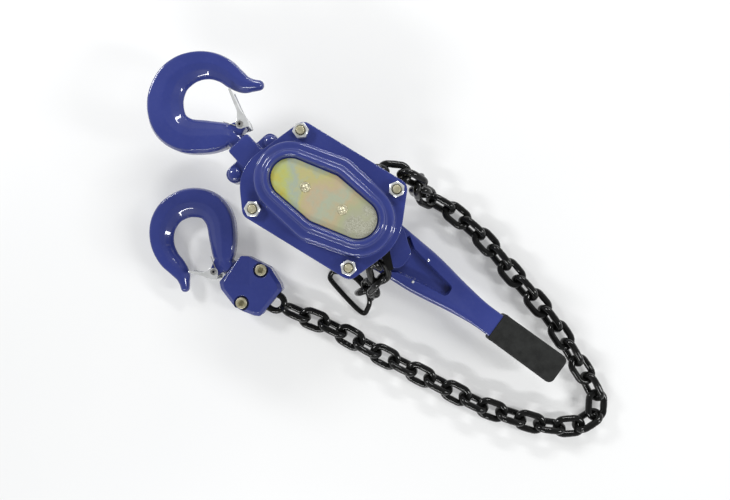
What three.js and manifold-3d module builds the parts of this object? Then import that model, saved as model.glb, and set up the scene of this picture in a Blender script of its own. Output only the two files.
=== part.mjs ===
// Lever chain hoist, 3 t class, lying on its hand wheel with the gear side up.
//
// Units are millimetres, +Z is up and the floor is Z = 0. The model is drawn in the hoist frame,
// whose Z axis is the drive shaft's axis; +X runs along the body towards the lever, and the top
// hook is at -X. The last section moves the whole group so that its origin is the bottom centre
// of the object without its free chain.

import * as THREE from 'three';
import { mergeVertices } from 'three/addons/utils/BufferGeometryUtils.js';
import Module from 'manifold-3d';

const wasm = await Module();
wasm.setup();

const DEG = Math.PI / 180;
const GAP = 0.3;                      // gap between faces that touch on the real object

// ---------------------------------------------------------------- driving dimensions

// Levels along the drive shaft, from the floor up.
const WHEEL_TOP = 24;
const LEVER_BOTTOM = 36;
const LEVER_SPLIT = 48;               // parting plane of the two lever shells
const LEVER_TOP = 62;
const BOSS_TOP = 65.2;                // raised plate round the lever's hub
const BRAKE_BOTTOM = 66.5;
const BRAKE_PLATE_Z = [92, 97];
const GEAR_PLATE_Z = [137, 142];
const SHEAVE_Z = 117;                 // middle plane of the sheave, its chain and the top hook
const FLANGE_Z = [142.3, 146];
const PANEL_SEAT_Z = 162.6;           // floor of the window in the gear cover
const COVER_TOP = 172;
const SHEET = 3;                      // wall of the pressed cover and of the lever's shells

// Chain: round steel links, 10 mm wire and 30 mm pitch.
const WIRE = 10;
const PITCH = 30;
const LINK_WIDTH = 34;
const LINK_LENGTH = PITCH + 2 * WIRE;
const CHAIN_CENTRE_R = 36.6;          // centreline of the links on the four-pocket sheave
const CHAIN_JOINT_R = 39.6;           // the points where those links bear on each other

// Gear train: two equal stages of 26 : 8 teeth, module 3.
const MODULE = 3;
const WHEEL_TEETH = 26;
const PINION_TEETH = 8;
const GEAR_CENTRES = MODULE * (WHEEL_TEETH + PINION_TEETH) / 2;
const LOW_GEARS_Z = [144.3, 151.7];
const HIGH_GEARS_Z = [153.2, 158.6];

// Body outline: four stays at the corners of a rectangle, a nose at each end.
const STAY_X = 73.6;
const STAY_Y = 60.2;
const STAY_R = 5.6;
const STAY_HOLE_R = 6.2;
const PANEL_RIVET_X = 28;
const PANEL_RIVET_HOLE_R = 2.8;
const TOP_PIN_R = 8;
const SHAFT_R = 10;
const JOURNAL_R = 19;                 // sheave journals in their bearings
const BEARING_R = 23.5;
const BRAKE_R = 60;

// Lever, measured from the drive shaft along its own axis.
const LEVER_ANGLE = -4.5 * DEG;
const GRIP_START = 300;
const GRIP_END = 413;
const GRIP_WIDTH = 45.5;
const GRIP_Z = [36, 65];
const SELECTOR_X = 92;

// Hooks: one forging used twice, drawn from the bowl's centre, shank towards +X and tip at +Y.
const HOOK_AXIS_Y = -3;               // the shank's axis, a little off the bowl's centre
const SHANK_R = 12.8;
const NECK_R = 9.5;
const NECK_X = [69.7, 97.5];
const COLLAR_X = [84.6, 96.4];        // upset collar that holds the hook in its swivel
const COLLAR_R = 13.4;
const LATCH_PIVOT = [55, 15.5];
const TOP_LATCH_TIP = [10, 37.2];
const BOTTOM_LATCH_TIP = [26, 39.2];   // this latch rests further out, on the narrower bowl

// Top hook and yoke: they hang on the top pin, swung aside in the sheave's plane.
const TOP_PIN = [-92, -9];
const TOP_ANGLE = 164 * DEG;          // from the top pin towards the hook's bowl
const BOWL_TO_PIN = 121.3;
const YOKE_RIVET_X = 99.3;
const YOKE_RIVET_Y = 32;

// Bottom block: it lies on the floor with its hook.
const BLOCK_CENTRE = [-34.6, -164];
const BLOCK_ANGLE = -8 * DEG;
const BLOCK_Z = 19;
const BLOCK_HALF = 18.7;
const BOWL_TO_BLOCK = 113.5;
const BOTTOM_HOOK_SPREAD = 0.92;      // the lower forging's free arm is a little closer to the shank,
const BOTTOM_HOOK_LEAN = 0.08;        // and the whole bowl leans
const ANCHOR_X = 24;
const END_LINK_ANGLE = 1.5 * DEG;

// Centreline of the free load chain, from the body's mouth to the end link.
const CHAIN_ROUTE = [
  [18.9, 58.8, 117], [38, 70, 117], [57, 81, 117], [76, 88.5, 115], [91, 90.5, 104], [99, 87, 85],
  [103.5, 85, 60], [109, 85.5, 36], [122, 88.5, 19.5], [143, 91.5, 16], [178, 87.5, 16], [212, 82, 16],
  [247, 72, 16], [280, 60, 16], [312, 50, 16], [343, 40, 16], [368, 31.5, 16],
  [391, 21, 16], [418, 8, 16], [443, -6, 16], [467, -17.5, 16], [488, -29, 16],
  [504, -46, 16], [507, -67, 16], [494, -87, 16], [472, -103, 16], [449, -114.5, 16],
  [425, -121.5, 16], [396, -129, 16], [371, -135, 16], [345, -139.5, 16],
  [288, -143.5, 16], [227, -148, 16], [168, -152.5, 16], [110, -154.5, 16],
  [70, -159, 16], [44, -164.6, 17.8], [24.9, -165.8, 19],
];
const RING_WIRE_R = 3.5;              // the end ring's wire
const CHAIN_STEPS = 44;
const CHAIN_TUBE = 30;                // width of the plain tube that stands for the free chain

// Bearing points of the tail chain's links, from the sheave to the end ring.
const TAIL_ROUTE = [
  [45, -36.6, 117], [75, -35.6, 117], [105, -38.5, 115], [119.5, -52, 95], [118, -68, 70],
  [113.5, -76.5, 43], [110.5, -81, 27],
];

// Flat ears on the end ring, and their level.
const END_RING_EARS = [
  [[84, -73], [92, -64.5], [104, -67.5], [107, -72], [106, -79], [88, -75]],
  [[121, -75.5], [127.5, -77.5], [131, -84], [130, -90], [121, -86.5], [119, -82]],
];
const END_RING_EAR_Z = [10.5, 13.5];

// ---------------------------------------------------------------- materials

const BLUE = new THREE.MeshStandardMaterial({ color: 0x2b3582, roughness: 0.28, metalness: 0.1 });
const ZINC = new THREE.MeshStandardMaterial({ color: 0xd8d8d0, roughness: 0.3, metalness: 0.9 });
const YELLOW_ZINC = new THREE.MeshStandardMaterial({ color: 0xc9bf83, roughness: 0.35, metalness: 0.8 });
const STEEL = new THREE.MeshStandardMaterial({ color: 0x8a8d92, roughness: 0.4, metalness: 0.9 });
const CHAIN_BLACK = new THREE.MeshStandardMaterial({ color: 0x17171a, roughness: 0.3, metalness: 0.6 });
const RUBBER = new THREE.MeshStandardMaterial({ color: 0x2b2c2b, roughness: 0.8, metalness: 0 });
const FRICTION = new THREE.MeshStandardMaterial({ color: 0x5a4a3a, roughness: 0.9, metalness: 0 });
const BLACK_PLASTIC = new THREE.MeshStandardMaterial({ color: 0x1c1c1c, roughness: 0.5, metalness: 0 });

// ---------------------------------------------------------------- solids

// A closed geometry as a solid that can be joined and cut.
function solid(geometry) {
  const bare = new THREE.BufferGeometry();
  bare.setAttribute('position', geometry.attributes.position);
  if (geometry.index) bare.setIndex(geometry.index);
  const merged = mergeVertices(bare, 1e-4);
  return new wasm.Manifold(new wasm.Mesh({
    numProp: 3,
    vertProperties: merged.attributes.position.array,
    triVerts: new Uint32Array(merged.index.array),
  }));
}

function geometryOf(body) {
  const mesh = body.getMesh();
  const geometry = new THREE.BufferGeometry();
  geometry.setAttribute('position', new THREE.BufferAttribute(new Float32Array(mesh.vertProperties), 3));
  geometry.setIndex(new THREE.BufferAttribute(new Uint32Array(mesh.triVerts), 1));
  geometry.computeVertexNormals();
  return geometry;
}

function join(...bodies) {
  return bodies.reduce((sum, body) => sum.add(body));
}

function cut(body, ...tools) {
  return tools.reduce((rest, tool) => rest.subtract(tool), body);
}

// A flat shape standing from z0 to z1.
function prism(shape, z0, z1, segments = 3) {
  const geometry = new THREE.ExtrudeGeometry(shape, {
    depth: z1 - z0, bevelEnabled: false, curveSegments: segments,
  });
  return solid(geometry.translate(0, 0, z0));
}

// The same with its rim chamfered at the top, the bottom or both.
function chamferedPrism(shape, z0, z1, chamfer, segments = 3) {
  const geometry = new THREE.ExtrudeGeometry(shape, {
    depth: z1 - z0 - 2 * chamfer, bevelEnabled: true, bevelThickness: chamfer,
    bevelSize: chamfer, bevelOffset: -chamfer, bevelSegments: 1, curveSegments: segments,
  });
  return solid(geometry.translate(0, 0, z0 + chamfer));
}

// A profile of [radius, z] points, from axis to axis, turned about Z.
function turned(profile, segments = 20) {
  const points = profile.map(([r, z]) => new THREE.Vector2(r, z));
  return solid(new THREE.LatheGeometry(points, segments).rotateX(Math.PI / 2));
}

function rod(radius, z0, z1, segments = 16) {
  return turned([[0, z0], [radius, z0], [radius, z1], [0, z1]], segments);
}

// A rod along X instead of Z, from x0 to x1, at height z.
function rodAlongX(radius, x0, x1, y, z, segments = 16) {
  return rod(radius, x0, x1, segments).rotate([0, 90, 0]).translate([0, y, z]);
}

function box(x0, x1, y0, y1, z0, z1) {
  const geometry = new THREE.BoxGeometry(x1 - x0, y1 - y0, z1 - z0);
  return solid(geometry.translate((x0 + x1) / 2, (y0 + y1) / 2, (z0 + z1) / 2));
}

// Rings of points, one section after another, closed at both ends.
function loft(rings) {
  const count = rings[0].length;
  const points = rings.flat();
  const faces = [];
  for (let i = 0; i + 1 < rings.length; i++) {
    for (let j = 0; j < count; j++) {
      const k = (j + 1) % count;
      const a = i * count + j;
      const b = i * count + k;
      faces.push(a, b, b + count, a, b + count, a + count);
    }
  }
  for (const [first, turn] of [[0, 1], [(rings.length - 1) * count, 0]]) {
    const middle = new THREE.Vector3();
    for (let j = 0; j < count; j++) middle.addScaledVector(points[first + j], 1 / count);
    points.push(middle);
    for (let j = 0; j < count; j++) {
      const edge = [first + j, first + (j + 1) % count];
      faces.push(points.length - 1, edge[turn], edge[1 - turn]);
    }
  }
  const geometry = new THREE.BufferGeometry().setFromPoints(points);
  geometry.setIndex(faces);
  return solid(geometry);
}

// A polygon with a round at each corner: corners are [x, y, radius].
function roundedShape(corners) {
  const shape = new THREE.Shape();
  const count = corners.length;
  for (let i = 0; i < count; i++) {
    const [x, y, radius] = corners[i];
    const here = new THREE.Vector2(x, y);
    const before = new THREE.Vector2(...corners[(i + count - 1) % count]).sub(here).normalize();
    const after = new THREE.Vector2(...corners[(i + 1) % count]).sub(here).normalize();
    const half = Math.acos(THREE.MathUtils.clamp(before.dot(after), -1, 1)) / 2;
    const reach = radius / Math.tan(half);
    const start = here.clone().addScaledVector(before, reach);
    const end = here.clone().addScaledVector(after, reach);
    const middle = before.clone().add(after).normalize();
    const centre = here.clone().addScaledVector(middle, radius / Math.sin(half));
    const from = Math.atan2(start.y - centre.y, start.x - centre.x);
    const to = Math.atan2(end.y - centre.y, end.x - centre.x);
    if (i === 0) shape.moveTo(start.x, start.y);
    else shape.lineTo(start.x, start.y);
    if (radius > 0) shape.absarc(centre.x, centre.y, radius, from, to, before.cross(after) > 0);
  }
  shape.closePath();
  return shape;
}

// A rectangle from x0 to x1, reaching half its width to either side of the X axis.
function roundedRectangle(x0, x1, halfWidth, radius) {
  return roundedShape([[x0, -halfWidth, radius], [x1, -halfWidth, radius], [x1, halfWidth, radius],
    [x0, halfWidth, radius]]);
}

// A prism whose rims slope in by a wide bevel; corners are [x, y, radius] about the centre.
function bevelledPrism(corners, z0, z1, bevelHeight, topScale, segments = 3) {
  const ring = (scale, z) => {
    const outline = roundedShape(corners.map(([x, y, r]) => [x * scale, y * scale, r * scale]));
    const points = outline.getPoints(segments).slice(0, -1);
    return points.map((p) => new THREE.Vector3(p.x, p.y, z));
  };
  return loft([ring(topScale, z0), ring(1, z0 + bevelHeight), ring(1, z1 - bevelHeight),
    ring(topScale, z1)]);
}

function circleShape(radius, x = 0, y = 0) {
  return new THREE.Shape().absarc(x, y, radius, 0, 2 * Math.PI);
}

function polar(radius, angle) {
  return [radius * Math.cos(angle), radius * Math.sin(angle)];
}

function polygon(points) {
  return new THREE.Shape(points.map(([x, y]) => new THREE.Vector2(x, y)));
}

function regularPolygon(sides, radius, firstAngle = 0) {
  const corner = (_, i) => polar(radius, firstAngle + 2 * Math.PI * i / sides);
  return polygon(Array.from({ length: sides }, corner));
}

// ---------------------------------------------------------------- the object's tree

const hoist = new THREE.Group();

function addNode(name, body, material) {
  const node = new THREE.Mesh(geometryOf(body), material);
  node.name = name;
  hoist.add(node);
  return node;
}

// Puts a solid drawn in a local XY frame at (x, y), turned by an angle about Z.
function place(body, [x, y], angle, z = 0) {
  return body.rotate([0, 0, angle / DEG]).translate([x, y, z]);
}

// ---------------------------------------------------------------- body: plates, cover, stays

// The hexagonal outline shared by the side plates and the cover's flange.
function bodyOutline(noseX = 114.6) {
  return roundedShape([
    [-79.5, 74.8, 14], [-120, -24.4, 55], [-81.5, -74.8, 14],
    [84.4, -74.8, 14], [noseX, 1.3, 70], [83, 74.8, 14],
  ]);
}

function atStays(make) {
  return [[-1, 1], [1, 1], [1, -1], [-1, -1]].map(([sx, sy]) => make(sx * STAY_X, sy * STAY_Y));
}

// One level of the dome: two end arcs joined by sides that bend at the middle.
function domeRing(endRadius, halfHeight, z) {
  const tangent = Math.PI - Math.atan2(halfHeight, GEAR_CENTRES)
    - Math.acos(endRadius / Math.hypot(GEAR_CENTRES, halfHeight));
  const ring = [];
  const arcSteps = 7;
  for (const side of [0, Math.PI]) {
    for (let i = 0; i <= arcSteps; i++) {
      const angle = side + tangent * (2 * i / arcSteps - 1);
      const centre = GEAR_CENTRES * Math.cos(side);
      ring.push(new THREE.Vector3(centre + endRadius * Math.cos(angle), endRadius * Math.sin(angle), z));
    }
    ring.push(new THREE.Vector3(0, halfHeight * Math.cos(side), z));
  }
  return ring;
}

function makeGearCover() {
  const outer = [[49, 60, 143], [48.2, 59.2, 159], [45.5, 56.2, 162.8], [38.4, 48.6, 164.2],
    [34.8, 44.6, 170], [31.5, 40.8, COVER_TOP], [28.4, 37.3, 170.4], [25.7, 34, PANEL_SEAT_Z]];
  const inner = [[46, 57, 140], [45.2, 56.2, 156.5], [43.4, 54.2, 159.6], [36.8, 46.9, 161],
    [32.4, 42, 167.4], [30.6, 40, 168.4], [28.7, 37, PANEL_SEAT_Z - SHEET]];
  const dome = loft(outer.map((ring) => domeRing(...ring)));
  const hollow = loft(inner.map((ring) => domeRing(...ring)));
  const flange = chamferedPrism(bodyOutline(), ...FLANGE_Z, 0.8, 2);
  const stayHoles = atStays((x, y) => rod(STAY_HOLE_R, 140, 150, 12).translate([x, y, 0]));
  return cut(join(flange, dome), hollow, ...stayHoles, ...panelRivetHoles());
}

function panelRivetHoles() {
  const hole = rod(PANEL_RIVET_HOLE_R, 155, 170, 8);
  return [-1, 1].map((side) => hole.translate([side * PANEL_RIVET_X, 0, 0]));
}

function makeCoverPanel() {
  const seat = PANEL_SEAT_Z + GAP;
  const plate = loft([domeRing(25.1, 33.2, seat), domeRing(25.1, 33.2, seat + 1.6)]);
  return cut(plate, ...panelRivetHoles());
}

// Pan-head rivet with a dimple, its shank through the panel and the cover.
function makePanelRivet(x) {
  const top = PANEL_SEAT_Z + 2 * GAP + 1.6;
  const profile = [[0, 160.2], [2.3, 160.2], [2.3, top], [6.8, top], [6.4, top + 1.2],
    [4.6, top + 1.9], [2.4, top + 1.7], [1.8, top + 0.9], [0, top + 0.9]];
  return turned(profile, 12).translate([x, 0, 0]);
}

function makeSidePlate([z0, z1], noseX, idlerHoleX) {
  const plate = chamferedPrism(bodyOutline(noseX), z0, z1, 0.6, 2);
  const stayHoles = atStays((x, y) => rod(STAY_HOLE_R, z0 - 1, z1 + 1, 12).translate([x, y, 0]));
  const bearing = rod(BEARING_R + GAP, z0 - 1, z1 + 1, 24);
  const topPinHole = rod(TOP_PIN_R + 0.5, z0 - 1, z1 + 1).translate([...TOP_PIN, 0]);
  const idlerHoles = idlerHoleX.map((x) => rod(7.5, z0 - 1, z1 + 1).translate([x, 0, 0]));
  return cut(plate, ...stayHoles, bearing, topPinHole, ...idlerHoles);
}

// Shouldered stay: a head under the brake plate, a thicker spacer between the plates.
function makeStay(x, y) {
  const head = regularPolygon(6, 10.8);
  const spacerR = STAY_R + 0.8;
  const bolt = turned([[0, 84], [STAY_R, 84], [STAY_R, 97.3], [spacerR, 97.3], [spacerR, 136.7],
    [STAY_R, 136.7], [STAY_R, 157.4], [STAY_R - 1, 158.4], [0, 158.4]], 12);
  return join(bolt, prism(head, 83, 91.7)).translate([x, y, 0]);
}

function makeNut(x, y) {
  const acrossFlats = 19;
  const hexagon = regularPolygon(6, acrossFlats / Math.sqrt(3), 30 * DEG);
  hexagon.holes.push(circleShape(STAY_HOLE_R));
  return chamferedPrism(hexagon, 146.3, 155.3, 0.7, 6).translate([x, y, 0]);
}

function makeTopPin() {
  const [x, y] = TOP_PIN;
  return rod(TOP_PIN_R, BRAKE_PLATE_Z[0], GEAR_PLATE_Z[1] - GAP).translate([x, y, 0]);
}

// Blackened guide between the plates: it strips the chain off the sheave and carries a lip.
function makeChainGuide() {
  const block = roundedShape([[57, -13, 3], [102, -14, 3], [99, 16, 8], [57, 16, 3]]);
  const finger = roundedShape([[46, -10, 2], [60, -11, 1], [60, 11, 1], [46, 10, 2]]);
  const lip = roundedShape([[90, -13, 1], [107, -28, 2], [122, -37, 3], [126, -31, 2], [110, -14, 4],
    [90, 4, 1]]);
  return join(prism(block, 101, 131), prism(finger, 98.5, 135.5, 1), prism(lip, 124, 131));
}

function addBody() {
  addNode('gear_cover', makeGearCover(), BLUE);
  addNode('cover_panel', makeCoverPanel(), YELLOW_ZINC);
  addNode('panel_rivet_1', makePanelRivet(-PANEL_RIVET_X), YELLOW_ZINC);
  addNode('panel_rivet_2', makePanelRivet(PANEL_RIVET_X), YELLOW_ZINC);
  addNode('gear_side_plate', makeSidePlate(GEAR_PLATE_Z, 114.6, [-GEAR_CENTRES, GEAR_CENTRES]), BLUE);
  addNode('brake_side_plate', makeSidePlate(BRAKE_PLATE_Z, 117, []), YELLOW_ZINC);
  atStays(makeStay).forEach((bolt, i) => addNode(`stay_bolt_${i + 1}`, bolt, YELLOW_ZINC));
  atStays(makeNut).forEach((nut, i) => addNode(`cover_nut_${i + 1}`, nut, ZINC));
  addNode('top_pin', makeTopPin(), STEEL);
  addNode('chain_guide', makeChainGuide(), CHAIN_BLACK);
}

// ---------------------------------------------------------------- gears, sheave and drive shaft

// Outline of an involute gear with profile shift; a tooth is centred on the angle phase.
function gearShape(teeth, shift, tipRadius, phase, flankSteps) {
  const pressure = 20 * DEG;
  const involute = (angle) => Math.tan(angle) - angle;
  const pitchRadius = MODULE * teeth / 2;
  const baseRadius = pitchRadius * Math.cos(pressure);
  const rootRadius = pitchRadius - MODULE * (1.25 - shift);
  const backlash = 0.35;
  const thickness = MODULE * (Math.PI / 2 + 2 * shift * Math.tan(pressure)) - backlash;
  const halfAngle = (r) => thickness / (2 * pitchRadius) + involute(pressure)
    - involute(Math.acos(Math.min(1, baseRadius / r)));
  const start = Math.max(rootRadius, baseRadius);
  const flank = Array.from({ length: flankSteps + 1 },
    (_, i) => start + i / flankSteps * (tipRadius - start));
  const points = [];
  for (let i = 0; i < teeth; i++) {
    const middle = phase + 2 * Math.PI * i / teeth;
    if (rootRadius < start) points.push(polar(rootRadius, middle - halfAngle(start)));
    flank.forEach((r) => points.push(polar(r, middle - halfAngle(r))));
    flank.toReversed().forEach((r) => points.push(polar(r, middle + halfAngle(r))));
    if (rootRadius < start) points.push(polar(rootRadius, middle + halfAngle(start)));
  }
  return polygon(points);
}

const wheelShape = (phase) => gearShape(WHEEL_TEETH, -0.5, 40.5, phase, 1);
const pinionShape = (phase) => gearShape(PINION_TEETH, 0.5, 15.8, phase, 2);
const HALF_WHEEL_TOOTH = Math.PI / WHEEL_TEETH;
const HALF_PINION_TOOTH = Math.PI / PINION_TEETH;

// Idler: a wheel driven by the shaft's pinion, with the pinion that turns the load gear.
function makeIdler(side) {
  const wheel = prism(wheelShape(HALF_WHEEL_TOOTH), ...HIGH_GEARS_Z);
  const pinion = prism(pinionShape(HALF_PINION_TOOTH), LOW_GEARS_Z[0], HIGH_GEARS_Z[0] + 1);
  const axle = turned([[0, 137.3], [7, 137.3], [7, 142.4], [8, 142.4], [8, 145], [7, 159.3],
    [0, 159.3]], 14);
  return join(wheel, pinion, axle).translate([side * GEAR_CENTRES, 0, 0]);
}

function makePinionShaft() {
  const shaft = turned([[0, 5], [8, 5], [SHAFT_R, 7], [SHAFT_R, 153], [6.5, 153.2], [6.5, 159.3],
    [0, 159.3]], 20);
  return join(shaft, prism(pinionShape(0), HIGH_GEARS_Z[0] - 0.7, HIGH_GEARS_Z[1]));
}

function makeLoadGear() {
  return cut(prism(wheelShape(0), ...LOW_GEARS_Z), rod(16.4, 140, 155, 20));
}

// Load sheave: a groove for the links on edge, and lobes that carry the flat links' ends.
function makeLoadSheave() {
  const body = turned([[SHAFT_R + 0.8, 92.3], [JOURNAL_R, 92.3], [JOURNAL_R, 97.6], [31.2, 97.6],
    [31.2, 110.7], [19.2, 111.2], [19.2, 122.8], [31.2, 123.3], [31.2, 136.4], [JOURNAL_R, 136.4],
    [JOURNAL_R, 143.7], [16, 143.7], [16, 151.7], [SHAFT_R + 0.8, 151.7],
    [SHAFT_R + 0.8, 92.3]], 24);
  const lobes = [];
  for (let quarter = 0; quarter < 4; quarter++) {
    for (const [z0, z1] of [[99, 110.7], [123.3, 135]]) {
      const lobe = prism(polygon([[29, -5.6], [41, -4], [43, -2], [43, 2], [41, 4], [29, 5.6]]), z0, z1);
      lobes.push(lobe.rotate([0, 0, 90 * quarter]));
    }
  }
  return join(body, ...lobes);
}

function makeSheaveBearing([z0, z1]) {
  return turned([[JOURNAL_R + 0.5, z0], [BEARING_R - 0.2, z0], [BEARING_R - 0.2, z1],
    [JOURNAL_R + 0.5, z1], [JOURNAL_R + 0.5, z0]], 24);
}

function addGearTrain() {
  addNode('load_sheave', makeLoadSheave(), STEEL);
  addNode('load_gear', makeLoadGear(), STEEL);
  addNode('idler_gear_1', makeIdler(1), STEEL);
  addNode('idler_gear_2', makeIdler(-1), STEEL);
  addNode('pinion_shaft', makePinionShaft(), STEEL);
  addNode('sheave_bearing_1', makeSheaveBearing(BRAKE_PLATE_Z), STEEL);
  addNode('sheave_bearing_2', makeSheaveBearing(GEAR_PLATE_Z), STEEL);
}

// ---------------------------------------------------------------- brake

const PAWL_PIVOT_R = 49.5;
const PAWL_ANGLES = [60 * DEG, 240 * DEG];
const RATCHET_TIP_R = 41;
const RATCHET_ROOT_R = 36;
const RATCHET_TEETH = 12;
const RATCHET_Z = [76.4, 82];

// Pressed cup over the brake, open towards the side plate.
function makeBrakeCover() {
  const [top] = BRAKE_PLATE_Z;
  return turned([[24, BRAKE_BOTTOM], [57, BRAKE_BOTTOM], [BRAKE_R, BRAKE_BOTTOM + 3],
    [BRAKE_R, top - 2], [63, top - 2], [63, top - GAP], [57, top - GAP], [57, BRAKE_BOTTOM + 3.4],
    [24, BRAKE_BOTTOM + 2.4], [24, BRAKE_BOTTOM]], 28);
}

// Saw-toothed disc: each tooth rises on a ramp and ends in a radial face.
function makeRatchetDisc() {
  const tooth = [[RATCHET_ROOT_R, 0], [RATCHET_TIP_R, 1], [RATCHET_TIP_R - 1, 6], [RATCHET_ROOT_R, 26]];
  const points = [];
  for (let i = 0; i < RATCHET_TEETH; i++) {
    const face = 360 * i / RATCHET_TEETH + 36;
    tooth.forEach(([r, degrees]) => points.push(polar(r, (face + degrees) * DEG)));
  }
  const shape = polygon(points);
  shape.holes.push(circleShape(15));
  return prism(shape, ...RATCHET_Z, 8);
}

// Flanged hub keyed to the shaft; the change gear presses the discs against it.
function makeFrictionHub() {
  const bore = SHAFT_R + GAP;
  return turned([[bore, 72.8], [14.2, 72.8], [14.2, 86], [35, 86], [35, 90], [bore, 90],
    [bore, 72.8]], 20);
}

function makeFrictionDisc(z0, z1) {
  return turned([[15, z0], [34.5, z0], [34.5, z1], [15, z1], [15, z0]], 20);
}

// Change gear: hub flange on the brake side, ratchet teeth inside the lever.
function makeChangeGear() {
  const teeth = 16;
  const tooth = [[33, -0.3], [38.5, -0.16], [38.5, 0.16], [33, 0.3]];
  const points = [];
  for (let i = 0; i < teeth; i++) {
    tooth.forEach(([r, share]) => points.push(polar(r, 2 * Math.PI * (i + share) / teeth)));
  }
  const hub = turned([[0, 30], [15, 30], [15, 43], [20, 43], [20, 70.6], [34, 70.6], [34, 72.2],
    [0, 72.2]], 20);
  return cut(join(hub, prism(polygon(points), 42.5, 53.5)), rod(SHAFT_R + GAP, 20, 80, 20));
}

// Pawl drawn from its pivot: its nose leans on a ratchet tooth's face.
function makePawl(angle) {
  const shape = roundedShape([[-7, -4, 3.4], [-2, -7.2, 3], [13.5, -11.6, 1], [15.5, -8, 1.2],
    [4, 5, 3], [-6, 5, 3.4]]);
  shape.holes.push(circleShape(3.8));
  const pawl = prism(shape, RATCHET_Z[0] + GAP, RATCHET_Z[1] - GAP, 5);
  return place(pawl, polar(PAWL_PIVOT_R, angle), angle - 90 * DEG);
}

function makePawlPin(angle) {
  const profile = [[0, 74], [5.4, 74], [5.4, 76.3], [3.4, 76.3], [3.4, 83], [5.4, 83],
    [5.4, 91.7], [0, 91.7]];
  return turned(profile, 10).translate([...polar(PAWL_PIVOT_R, angle), 0]);
}

function addBrake() {
  addNode('brake_cover', makeBrakeCover(), BLUE);
  addNode('ratchet_disc', makeRatchetDisc(), STEEL);
  addNode('friction_hub', makeFrictionHub(), STEEL);
  addNode('friction_disc_1', makeFrictionDisc(82.4, 85.7), FRICTION);
  addNode('friction_disc_2', makeFrictionDisc(72.6, 76), FRICTION);
  addNode('change_gear', makeChangeGear(), STEEL);
  PAWL_ANGLES.forEach((angle, i) => {
    addNode(`brake_pawl_${i + 1}`, makePawl(angle), STEEL);
    addNode(`pawl_pin_${i + 1}`, makePawlPin(angle), STEEL);
  });
}

// ---------------------------------------------------------------- hand wheel and lever

// Hand wheel with finger scallops round its rim and a recess for the shaft's end.
function makeHandWheel() {
  const scallops = 10;
  const steps = scallops * 5;
  const outline = polygon(Array.from({ length: steps }, (_, i) => {
    const angle = 2 * Math.PI * i / steps;
    return polar(55.5 + 2.5 * Math.cos(scallops * angle), angle);
  }));
  const wheel = join(chamferedPrism(outline, 0, WHEEL_TOP - 4, 2), rod(19, 10, 29.6));
  const recess = turned([[0, -1], [44, -1], [41, 9], [0, 9]], 24);
  const rimWell = turned([[21, 14], [44, 14], [47, 30], [21, 30], [21, 14]], 24);
  return cut(wheel, recess, rimWell, rod(SHAFT_R + GAP, -1, 40, 20));
}

// Half outline of the lever from the hub to its tongue, mirrored for the other edge.
function leverOutline(inset = 0) {
  const hub = 57 - inset;
  const edge = [[46, 44], [100, 38.5], [137, 36], [166, 34], [195, 30], [224, 25], [268, 19],
    [GRIP_START - 2, 18.3], [GRIP_START - 1, 15.5], [330, 15.5]];
  const upper = edge.map(([x, y]) => [x - (x > 325 ? inset : 0), y - inset]);
  const shape = new THREE.Shape();
  const turn = Math.atan2(upper[0][1], upper[0][0]);
  shape.absarc(0, 0, hub, turn, 2 * Math.PI - turn, false);
  upper.forEach(([x, y]) => shape.lineTo(x, -y));
  upper.toReversed().forEach(([x, y]) => shape.lineTo(x, y));
  return shape;
}

// The deep pocket behind the hub: it wraps round the hub's raised plate and tapers to the grip.
function leverPocketShape(grow = 0) {
  const edge = [[120 - grow, 34 + grow, 2], [139 - grow, 21.5 + grow, 8], [166, 16.5 + grow, 20],
    [217 + grow, 8.5 + grow, 7]];
  return roundedShape([...edge.map(([x, y, r]) => [x, -y, r]), ...edge.toReversed()]);
}

// The raised plate round the hub, ending in a blunt nose inside the pocket.
function leverBossShape() {
  const shape = new THREE.Shape();
  shape.absarc(0, 0, 54, 38 * DEG, 322 * DEG, false);
  const edge = [[106, -36.5], [113, -34.5], [126, -23.5], [137, -17], [142, -9]];
  edge.forEach(([x, y]) => shape.lineTo(x, y));
  edge.toReversed().forEach(([x, y]) => shape.lineTo(x, -y));
  return shape;
}

// A pressed half: a tray whose walls meet the other half's at the parting plane.
function leverShell(z0, z1, floorZ0, floorZ1) {
  const tray = prism(leverOutline(), z0, z1, 11);
  const hollow = prism(leverOutline(SHEET), floorZ0, floorZ1, 9);
  const tongueStop = box(290, 340, -40, 40, z0 - 5, z1 + 5);
  return cut(tray, cut(hollow, tongueStop));
}

const TONGUE_Z = [41, 55];
const POCKET_DEPTH = 8;

function makeUpperShell() {
  const split = LEVER_SPLIT + GAP / 2;
  const shell = leverShell(split, LEVER_TOP, split - 1, LEVER_TOP - SHEET);
  const floor = LEVER_TOP - POCKET_DEPTH;
  const pressed = prism(leverPocketShape(2.5), floor - SHEET, LEVER_TOP - 1);
  const pocket = prism(leverPocketShape(), floor, LEVER_TOP + 5);
  const boss = prism(leverBossShape(), LEVER_TOP - 1, BOSS_TOP, 10);
  const nose = cut(prism(leverBossShape(), floor - 1, LEVER_TOP), box(-80, 119, -60, 60, 40, 70));
  const tongueCut = box(GRIP_START - 1.5, 340, -40, 40, TONGUE_Z[1], 80);
  const panned = cut(join(shell, pressed), pocket);
  return cut(join(panned, boss, nose), rod(21, 40, 80, 20), tongueCut);
}

function makeLowerShell() {
  const split = LEVER_SPLIT - GAP / 2;
  const shell = leverShell(LEVER_BOTTOM, split, LEVER_BOTTOM + SHEET, split + 1);
  const knobHole = rod(7, 20, 50).translate([SELECTOR_X, 0, 0]);
  const tongueCut = box(GRIP_START - 1.5, 340, -40, 40, 20, TONGUE_Z[0]);
  return cut(shell, rod(21, 20, 60, 20), knobHole, tongueCut);
}

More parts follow.
